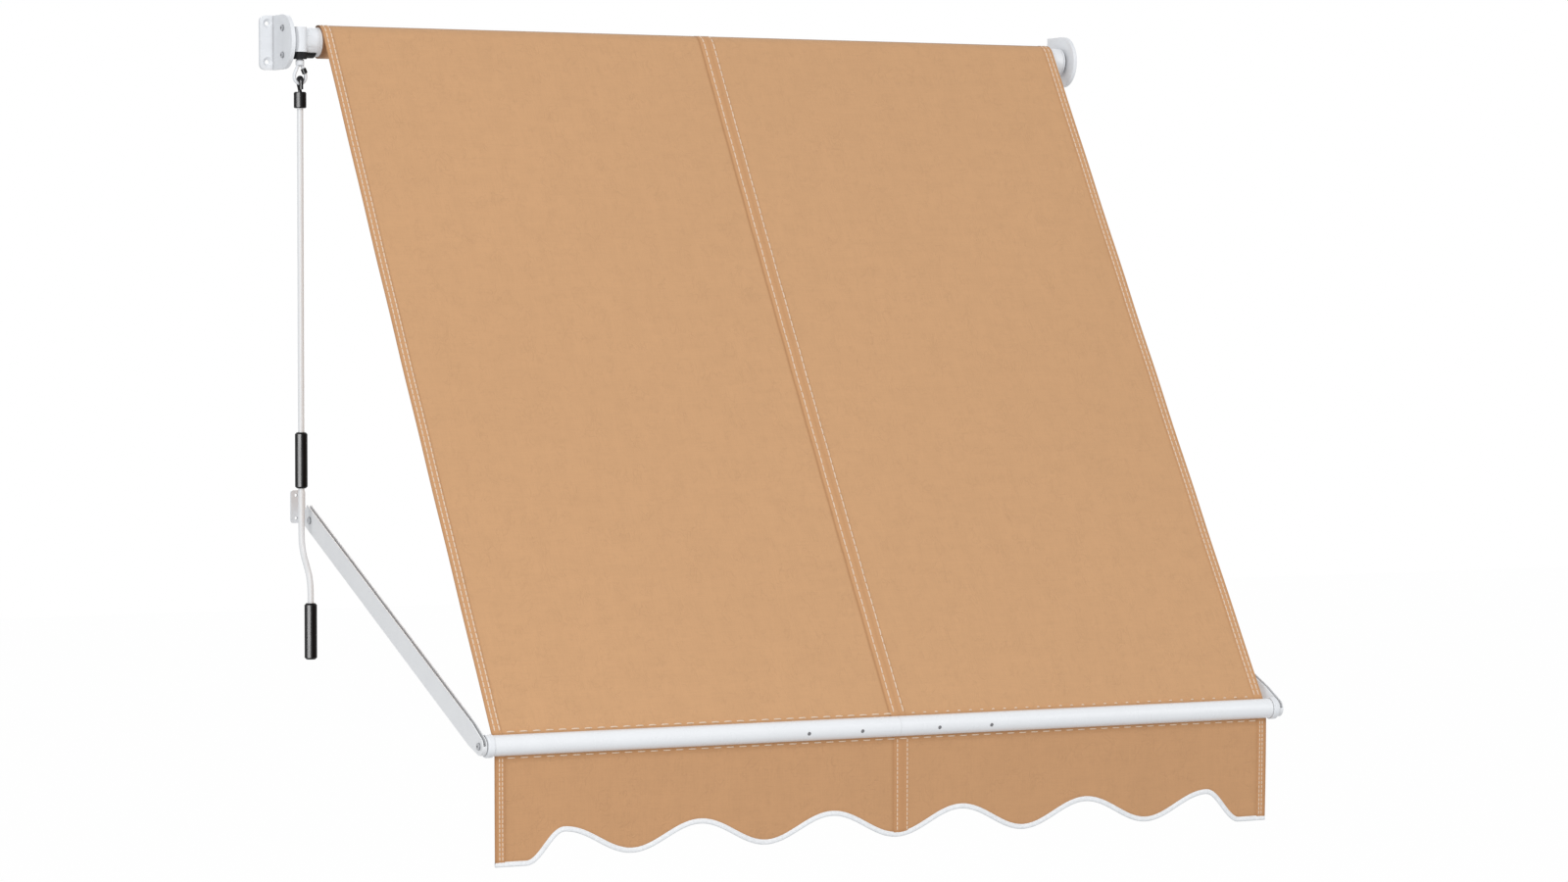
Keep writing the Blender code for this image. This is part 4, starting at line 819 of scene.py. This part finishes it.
@dataclass
class Canopy(Cloth):
    """Sloping cloth from the roll to the front bar: two widths joined by a lapped seam, with sewn side hems."""

    hem: float = 0.0145
    hem_rows: tuple[float, float] = (0.0052, 0.0122)
    lap: tuple[float, float] = (-0.0140, 0.0090)
    seam_rows: tuple[float, float] = (-0.0075, 0.0075)
    hem_stitch: tuple[float, float] = (0.0092, 0.0093)
    seam_stitch: tuple[float, float] = (0.0120, 0.0122)
    far_stitch: tuple[float, float] = (0.0180, 0.0052)
    thread: float = 0.00115
    seam_top: float = 0.0100
    seam_bottom: float = 0.0085
    wrap: float = 0.0340
    wrap_sewn: float = 0.0300
    sag: float = 0.0035
    foot: float = field(default=SLOPE_LENGTH - 0.0135)
    bar_row: float = field(default=SLOPE_LENGTH - BAR_RADIUS - 0.0052)
    stations: int = 190
    folded: float = 0.0524

    def seam(self, s: Array) -> Array:
        """Middle of the seam at a distance down the slope: it leans evenly from top to bottom."""
        return self.seam_top + (self.seam_bottom - self.seam_top) * s / SLOPE_LENGTH

    def lean(self, s: Array) -> Array:
        """How far the cloth lies towards the gearbox: the whole shift on the roll, evenly less to the bar."""
        return -ROLL_SHIFT * (1.0 - np.clip(s / SLOPE_LENGTH, 0.0, 1.0))

    def lift(self, x: Array, s: Array) -> Array:
        """Height over the flat slope: -sag sin(pi v) sin(pi u)^0.3, hollows beside the seams and ripples."""
        v = np.clip(s / SLOPE_LENGTH, 0.0, 1.0)
        u = np.clip(0.5 + 0.5 * x / HALF_WIDTH, 0.0, 1.0)
        hang = -self.sag * np.sin(math.pi * v) * np.sin(math.pi * np.clip(u, 0.02, 0.98)) ** 0.3
        held = np.sin(math.pi * v) ** 0.5
        slack = 0.00042 * ripple(x, 0.35 * s, 7, 9, 12.0, 46.0) * held
        beside = np.exp(-(((x - self.seam(s)) / 0.035) ** 2))
        slack += 0.00030 * beside * np.sin(2.0 * math.pi * s / 0.085 + 6.0 * x) * held
        edge = np.exp(-((HALF_WIDTH - np.abs(x)) / 0.030) ** 2)
        slack += 0.00045 * edge * np.sin(2.0 * math.pi * s / 0.19 + 1.3 * np.sign(x)) * held
        return hang + slack

    def layers(self, x: Array, s: Array) -> Array:
        """Thickness in layers of cloth, with 0.6 of a second one where it goes into the bar."""
        return self.thickness(x, x - self.seam(s), 0.6 * step_up(s, self.bar_row - 0.0040, 0.0012))

    def face(self, x: Array, s: Array, outer: bool) -> Array:
        """Points of a face: centre + s DOWN + (r + h) OUT, round the roll by the angle -s / r where s < 0."""
        over = np.clip(-s / self.wrap, 0.0, 1.0)
        thick = CLOTH * (1.0 - 0.85 * over)
        height = ROLL_RADIUS + GAP * (1.0 - 0.7 * over) + self.lift(x, s)
        if outer:
            height = height + thick * self.layers(x, s) - 0.00025 * self.pulled(x, x - self.seam(s))
        angle = np.clip(-s, 0.0, None) / (ROLL_RADIUS + GAP)
        down = np.clip(s, 0.0, None) - height * np.sin(angle)
        out = height * np.cos(angle)
        side = (x + self.lean(s))[..., None] * np.array((1.0, 0.0, 0.0))
        return ROLLER + side + down[..., None] * DOWN + out[..., None] * OUT

    def painted_shade(self, x: Array, s: Array) -> Array:
        """Share of painted shade: lines where an edge lies, beside the sewing and along the rims."""
        off = x - self.seam(s)
        rim = HALF_WIDTH - np.abs(x)
        dark = 0.62 * line_at(off - self.lap[0] + 0.0006, 0.0016)
        dark += 0.25 * line_at(off - self.lap[1] - 0.0004, 0.0012)
        dark += 0.22 * line_at(off, 0.0030) + 0.28 * line_at(rim - self.hem - 0.0004, 0.0012)
        dark += 0.35 * line_at(rim, 0.0022) + 0.30 * line_at(s - self.bar_row - 0.0035, 0.0020)
        return np.clip(dark, 0.0, 1.0)

    def columns(self) -> Array:
        """Places across the cloth, close together where its thickness changes."""
        wide = np.linspace(-HALF_WIDTH, HALF_WIDTH, 125)
        rim = HALF_WIDTH - np.linspace(0.0, 0.020, 15)
        near = self.fold_places(0.0, np.linspace(-0.0014, 0.0007, 4))
        return np.unique(np.round(np.concatenate((wide, np.linspace(-0.022, 0.018, 33), rim, -rim, near)), 6))

    def strip(self, name: str, places: Array, finishes: Finishes) -> Object:
        """One closed strip of the cloth over its whole width.

        Args:
            name: the piece's name.
            places: distances down the slope, from the first row of points to the last.
            finishes: the materials by name.

        Returns:
            The strip.
        """
        s, x = np.meshgrid(places, self.columns(), indexing="ij")
        x = x + self.seam(s) * np.exp(-((x / 0.12) ** 4))
        made = self.closed(name, x, s, self.layers(x, s))
        made.data.materials.append(finishes["canopy"])
        return made

    def build(self, finishes: Finishes) -> list[Object]:
        """Make the cloth and its stitches: the sloping part, and the rest that lies on the roll.

        Args:
            finishes: the materials by name.

        Returns:
            The sloping cloth, the cloth over the roll, and the stitches of each.
        """
        last = self.foot - 0.03
        down = np.append(np.linspace(0.0, last, self.stations), np.linspace(last, self.foot, 22)[1:])
        sheet = self.strip("canopy_cloth", down, finishes)
        over = self.strip("canopy_wrap", np.linspace(-self.wrap, 0.0, 22), finishes)
        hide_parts("canopy")
        end = self.bar_row - 0.002
        rows = self.hem_stitches(0.0, end, self.hem_stitch)
        rows += self.seam_stitches((self.seam_top, 0.0), (self.seam_bottom, end), self.seam_stitch)
        rows.append(SewingRow((-HALF_WIDTH + 0.018, self.bar_row), (0.0, self.bar_row), *BAR_STITCH))
        rows.append(SewingRow((0.022, self.bar_row), (HALF_WIDTH - 0.018, self.bar_row), *self.far_stitch))
        thread = self.sew("canopy_stitches", rows, self.thread)
        turned = self.hem_stitches(-self.wrap_sewn, 0.0, self.hem_stitch)
        turned += self.seam_stitches((self.seam_top, -self.wrap_sewn), (self.seam_top, 0.0), self.hem_stitch)
        wound = self.sew("wrap_stitches", turned, self.thread)
        for sewn in (thread, wound):
            sewn.data.materials.append(finishes["thread"])
        for piece in (sheet, thread, over, wound):
            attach(piece, "canopy")
        for piece in (sheet, thread):
            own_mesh(piece)
        return [sheet, thread, over, wound]


@dataclass
class Valance(Cloth):
    """Hanging strip with a scalloped foot, sewn side hems, a lapped seam and white binding round the foot."""

    top: float = 0.0131
    drop: float = 0.1574
    scallop: float = 0.034
    pitch: float = 0.200
    level: float = 0.045
    foot_drop: float = 0.0085
    hem: float = 0.0140
    hem_rows: tuple[float, float] = (0.0065, 0.0108)
    lap: tuple[float, float] = (-0.0135, 0.0095)
    seam_rows: tuple[float, float] = (-0.0077, 0.0077)
    side_stitch: tuple[float, float] = (0.0062, 0.0057)
    thread: float = 0.00085
    seam_middle: float = 0.0080
    bind_height: float = 0.0036
    bind_thick: float = 0.0019
    bar_row: float = field(default=BAR_RADIUS + 0.0030)

    def edge(self, x: Array) -> Array:
        """Height of the binding's middle under the bar's axis.

        Inside the last crests it is c - a (1 - cos(2 pi (|x| - l) / p)) / 2, and outside them half a wave down
        to the foot.
        """
        crest = -self.drop + self.foot_drop + self.scallop
        last = HALF_WIDTH - self.pitch / 2
        away = np.abs(x)
        inside = crest - self.scallop * (1 - np.cos(2 * math.pi * (away - last) / self.pitch)) / 2
        share = np.clip((away - last) / (self.pitch / 2 - self.level), 0.0, 1.0)
        outside = crest - (self.scallop + self.foot_drop) * (1 - np.cos(math.pi * share)) / 2
        return np.where(away <= last, inside, outside)

    def sway(self, x: Array, z: Array) -> Array:
        """How far the cloth hangs out of its plane: t^1.5 (a cos(2 pi (x - o) / p) + ripples)."""
        t = np.clip((-z - BAR_RADIUS) / (self.drop - BAR_RADIUS), 0.0, 1.2) ** 1.5
        wave = 0.0016 * np.cos(2 * math.pi * (x - 0.02) / self.pitch)
        return t * (wave + 0.0011 * ripple(x, 0.3 * z, 21, 6, 8.0, 30.0))

    def layers(self, x: Array, z: Array) -> Array:
        """Thickness in layers of cloth, with 0.7 of a second one at the bar."""
        return self.thickness(x, x - self.seam_middle, 0.7 * step_up(z, -self.bar_row - 0.0045, 0.0012))

    def painted_shade(self, x: Array, s: Array) -> Array:
        """Share of painted shade: under the bar, beside the sewing, along the rims and over the binding."""
        off = x - self.seam_middle
        rim = HALF_WIDTH - np.abs(x)
        foot = -self.edge(x) - self.bind_height
        dark = 0.40 * line_at(off - self.lap[0] + 0.0005, 0.0016) + 0.30 * line_at(off, 0.0030)
        dark += 0.30 * line_at(rim - self.hem - 0.0004, 0.0014) + 0.55 * line_at(rim, 0.0030)
        dark += 0.35 * line_at(s - BAR_RADIUS - 0.0005, 0.0045) + 0.30 * line_at(s - foot, 0.0020)
        return np.clip(dark, 0.0, 1.0)

    def face(self, x: Array, s: Array, outer: bool) -> Array:
        """Points of a face: bar's axis + (x, sway -+ thickness, -s), with s the distance under the axis."""
        z = -s
        depth = self.sway(x, z)
        if outer:
            pulled = self.pulled(x, x - self.seam_middle)
            depth = depth - CLOTH * (self.layers(x, z) - 0.5) + 0.00022 * pulled
        else:
            depth = depth + CLOTH / 2
        return np.stack((x + BAR[0], depth + BAR[1], z + BAR[2]), axis=-1)

    def columns(self) -> Array:
        """Places across the cloth, close together where its thickness changes."""
        near = self.fold_places(self.seam_middle, np.linspace(-0.0014, 0.0014, 5))
        return np.unique(np.round(np.append(np.linspace(-HALF_WIDTH, HALF_WIDTH, 241), near), 6))

    def binding(self, finishes: Finishes) -> Object:
        """Tape folded over the cloth's foot: an oval carried along the foot's curve.

        Its points are e(x) + h (cos q) m + b(q) y, where m is square to the curve in the cloth's plane and
        b = thick sin q (1 - 0.22 cos q), fuller below than above.
        """
        x = np.linspace(-HALF_WIDTH, HALF_WIDTH, 481)
        z = self.edge(x)
        slope = np.gradient(z, x)
        size = np.hypot(1.0, slope)
        across = np.stack((-slope / size, np.zeros_like(x), 1.0 / size), axis=-1)
        sides = 20
        angles = 2.0 * math.pi * np.arange(sides) / sides
        high = self.bind_height * np.cos(angles)
        thick = self.bind_thick * np.sin(angles) * (1.0 - 0.22 * np.cos(angles))
        middle = np.stack((x, self.sway(x, z) + BAR[1], z + BAR[2]), axis=-1)
        puff = 1.0 + 0.04 * ripple(x, 0.0 * x, 5, 5, 60.0, 300.0)
        points = middle[:, None, :] + high[None, :, None] * across[:, None, :]
        points[..., 1] += thick[None, :] * puff[:, None]
        count = len(x)
        faces = grid_faces(count, sides, 0, wrap=True).tolist()
        faces += [list(range(sides))[::-1], list(range((count - 1) * sides, count * sides))]
        run = np.concatenate(((0.0,), np.cumsum(np.hypot(np.diff(x), np.diff(z)))))
        uv = np.stack(np.broadcast_arrays(run[:, None], 0.0035 * angles[None, :]), axis=-1).reshape(-1, 2)
        made = make_object("valance_binding", points.reshape(-1, 3), faces, Shading.CLOTH, uv)
        made.data.materials.append(finishes["binding"])
        return made

    def build(self, finishes: Finishes) -> list[Object]:
        """Make the cloth, its stitches and its binding.

        Args:
            finishes: the materials by name.

        Returns:
            The three pieces.
        """
        share = np.append(np.linspace(0.0, 0.12, 12)[:-1], np.linspace(0.12, 1.0, 40))
        t, x = np.meshgrid(share, self.columns(), indexing="ij")
        foot = -self.edge(x) - self.bind_height * 0.25
        s = self.top + (foot - self.top) * t
        sheet = self.closed("valance_cloth", x, s, self.layers(x, -s))
        sheet.data.materials.append(finishes["valance"])
        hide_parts("valance")
        tape = self.binding(finishes)
        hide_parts("valance_edging")
        low = self.drop - self.bind_height - 0.001
        mid = float(-self.edge(np.array(self.seam_middle))) - self.bind_height - 0.001
        rows = self.hem_stitches(self.bar_row, low, self.side_stitch)
        rows += self.seam_stitches((self.seam_middle, self.bar_row), (self.seam_middle, mid), self.side_stitch)
        ends = [(side * (HALF_WIDTH - 0.014), self.bar_row) for side in (-1, 1)]
        rows.append(SewingRow(*ends, *BAR_STITCH))
        thread = self.sew("valance_stitches", rows, self.thread)
        thread.data.materials.append(finishes["thread"])
        for piece in (sheet, tape, thread):
            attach(piece, "front_bar")
        x_line = np.linspace(-HALF_WIDTH, HALF_WIDTH, 2001)
        depth = -self.edge(x_line) - self.top
        area = float(np.sum((depth[1:] + depth[:-1]) / 2.0 * np.diff(x_line)))
        flat = (2 * HALF_WIDTH, float(depth.max()))
        area = min(area, 0.999 * flat[0] * flat[1])
        return [sheet, tape, thread]


# ---- hardware ----


@dataclass
class Hardware:
    """CAD nodes that keep their shape: each gets its finish, and a smooth copy where its round faces show."""

    plain: dict[str, str] = field(
        default_factory=lambda: {
            "gear_bracket": "cast", "idle_bracket": "cast", "gear_housing": "cast", "gear_cover": "cover",
            "gearbox_screw_upper": "zinc", "gearbox_screw_lower": "zinc", "idle_bush": "cast",
            "arm_bracket_left": "cast", "arm_bracket_right": "cast", "arm_pin_left": "zinc",
            "arm_pin_right": "zinc", "roller_tube": "bar", "roller_cord": "cord", "cloth_roll": "rolled",
            "roller_plug_drive": "cast", "roller_plug_idle": "cast", "worm_wheel": "brass",
            "worm_shaft": "zinc", "winding_eye": "cast", "eye_sleeve": "black", "crank_hook": "wire",
            "crank_coupler": "black", "crank_rod": "rod", "upper_grip": "black", "lower_grip": "black",
            "arm_left": "arm", "arm_right": "arm", "bar_half_left": "bar", "bar_half_right": "bar",
            "bar_sleeve": "alloy", "bar_screw_left_1": "dark", "bar_screw_left_2": "dark",
            "bar_screw_right_1": "dark", "bar_screw_right_2": "dark", "bar_cap_left": "cast",
            "bar_cap_right": "cast", "bar_bolt_left": "zinc", "bar_bolt_right": "zinc",
            "canopy_cord": "cord", "valance_cord": "cord",
        }
    )

    def rounded(self, node: str, source: Object, finish: bpy.types.Material) -> Object:
        """Copy of a node with its points merged and its round faces shaded smooth, which stands for the node.

        Args:
            node: the node's name.
            source: the node's object.
            finish: the copy's material.

        Returns:
            The copy.
        """
        work = bmesh.new()
        work.from_mesh(source.data)
        bmesh.ops.remove_doubles(work, verts=work.verts[:], dist=SAME_POINT)
        angle = math.radians(SAME_FACE)
        bmesh.ops.dissolve_limit(work, angle_limit=angle, verts=work.verts[:], edges=work.edges[:])
        mesh = bpy.data.meshes.new(f"{node}_skin")
        work.to_mesh(mesh)
        work.free()
        mesh.materials.clear()
        mesh.materials.append(finish)
        mesh.polygons.foreach_set("material_index", np.zeros(len(mesh.polygons), dtype=np.int32))
        mesh.shade_smooth()
        mesh.set_sharp_from_angle(angle=math.radians(Shading.HARD.value))
        made = bpy.data.objects.new(f"{node}_skin", mesh)
        bpy.context.scene.collection.objects.link(made)
        level = made.modifiers.new("level faces", "WEIGHTED_NORMAL")
        level.keep_sharp = True
        level.weight = 90
        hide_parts(node)
        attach(made, body_of(source)[0])
        return made

    def build(self, finishes: Finishes) -> dict[str, Object]:
        """Dress every node that is in the frame, and put a smooth copy over it.

        Args:
            finishes: the materials by name.

        Returns:
            The smooth copies by their node's name.
        """
        dressed = {}
        for node, key in self.plain.items():
            found = bpy.data.objects.get(node)
            if found is None:
                LOG.warning("no node %s", node)
                continue
            if not found.material_slots:
                found.data.materials.append(finishes[key])
            for held in found.material_slots:
                held.link = "OBJECT"
                held.material = finishes[key]
            dressed[node] = self.rounded(node, found, finishes[key])
        return dressed


# ---- studio ----


@dataclass
class Studio:
    """Pale floor, white background, soft lamps and the camera of the photograph."""

    eye: Triple = (-2.9006, -6.0913, -0.3633)
    yaw: float = 0.4653
    pitch: float = -0.0322
    lens: float = 103.0
    floor: float = -1.85
    sky: float = 0.62

    def camera(self) -> None:
        """Place the camera at the photograph's viewing angle."""
        data = bpy.data.cameras.new("camera")
        data.lens = self.lens
        data.sensor_width = 36.0
        data.clip_end = 100.0
        made = bpy.data.objects.new("camera", data)
        made.location = self.eye
        made.rotation_euler = (math.pi / 2 + self.pitch, 0.0, -self.yaw)
        bpy.context.scene.collection.objects.link(made)
        bpy.context.scene.camera = made

    def world(self) -> None:
        """White where the camera and glossy rays see it, and a plain soft level as light."""
        n = Nodes(bpy.data.worlds.new("studio"))
        back = n.tree.nodes["Background"]
        n.put(back.inputs[0], (0.94, 0.97, 1.0, 1.0))
        n.put(back.inputs[1], self.sky)
        white = n.add("Background", {0: WHITE})
        path = n.add("LightPath").outputs
        clear = n.math("MAXIMUM", path["Is Transmission Ray"], path["Is Glossy Ray"])
        seen = n.math("MAXIMUM", path["Is Camera Ray"], clear)
        mix = n.add("MixShader", {0: seen, 1: back.outputs[0], 2: white.outputs[0]})
        n.put(n.tree.nodes["World Output"].inputs[0], mix.outputs[0])
        bpy.context.scene.world = n.owner

    def ground(self) -> None:
        """Wide pale floor that the camera sees almost white, and that the awning takes no soft light from."""
        places = np.linspace(-14.0, 14.0, 9)
        x, y = np.meshgrid(places, places, indexing="ij")
        points = np.stack((x, y, np.full_like(x, self.floor)), axis=-1).reshape(-1, 3)
        made = make_object("floor", points, grid_faces(9, 9).tolist(), Shading.SMOOTH)
        n = Nodes(bpy.data.materials.new("pale floor"))
        n.shader.inputs["Roughness"].default_value = 0.9
        grain = n.noise(n.object_place(), 2.0, 3.0)
        n.put(n.shader.inputs["Base Color"], n.mix(grain, (0.80, 0.80, 0.80, 1.0), (0.83, 0.83, 0.83, 1.0)))
        glow = n.add("Emission", {"Color": WHITE, "Strength": 1.0})
        path = n.add("LightPath")
        seen = n.math("MAXIMUM", path.outputs["Is Camera Ray"], path.outputs["Is Glossy Ray"])
        seen = n.math("MULTIPLY", seen, 0.985)
        mix = n.add("MixShader", {0: seen, 1: n.shader.outputs[0], 2: glow.outputs[0]})
        n.put(n.tree.nodes["Material Output"].inputs[0], mix.outputs[0])
        n.owner.cycles.emission_sampling = "NONE"
        made.data.materials.append(n.owner)
        made.visible_diffuse = False

    def lamp(self, name: str, place: Triple, target: Triple, power: float, size: tuple[float, float]) -> Object:
        """Rectangular area lamp that points at a target.

        Args:
            name: the lamp's name.
            place: where it stands.
            target: what it points at.
            power: its power in watts.
            size: its width and height in metres.

        Returns:
            The lamp.
        """
        data = bpy.data.lights.new(name, "AREA")
        data.energy = power
        data.shape = "RECTANGLE"
        data.size, data.size_y = size
        made = bpy.data.objects.new(name, data)
        aim = np.array(target) - np.array(place)
        made.location = place
        flat = math.hypot(aim[0], aim[1])
        made.rotation_euler = (math.atan2(flat, -aim[2]), 0.0, math.atan2(-aim[0], aim[1]))
        bpy.context.scene.collection.objects.link(made)
        return made

    def side_box(self, pieces: list[Object]) -> None:
        """Wide soft box beside the camera that only the black pieces mirror: it gives them their grey band."""
        box = self.lamp("side box", (-4.30, -2.75, -0.60), (-0.65, -0.10, -0.85), 1900.0, (4.6, 2.4))
        box.visible_diffuse = False
        group = bpy.data.collections.new("black pieces")
        for piece in pieces:
            group.objects.link(piece)
        box.light_linking.receiver_collection = group

    def build(self) -> None:
        """Make the whole studio."""
        self.camera()
        self.world()
        self.ground()
        middle = (0.0, -0.35, -0.55)
        self.lamp("key", (-1.6, -4.4, 3.6), middle, 92.0, (2.6, 2.2))
        self.lamp("strip", (-4.1, -3.9, -0.5), middle, 80.0, (0.50, 3.4))
        self.lamp("fill", (3.8, -3.8, 1.0), middle, 34.0, (3.0, 3.0))
        self.lamp("low", (-0.8, -4.6, -1.6), middle, 14.0, (2.6, 2.0))
        self.lamp("rear", (0.5, 3.6, 1.6), middle, 60.0, (3.0, 3.0))
        bpy.context.scene.view_settings.view_transform = "Standard"


def main() -> None:
    """Build the awning's pieces in order."""
    logging.basicConfig(level=logging.INFO, format="%(name)s: %(message)s")
    studio = Studio()
    studio.build()
    finishes = Palette().finishes()
    dressed = Hardware().build(finishes)
    LOG.info("dressed %d nodes", len(dressed))
    studio.side_box([dressed[node] for node in BLACK_NODES])
    for part in (Canopy(), Valance()):
        for piece in part.build(finishes):
            LOG.info("%s: %d faces", piece.name, len(piece.data.polygons))


if __name__ == "__main__":
    main()
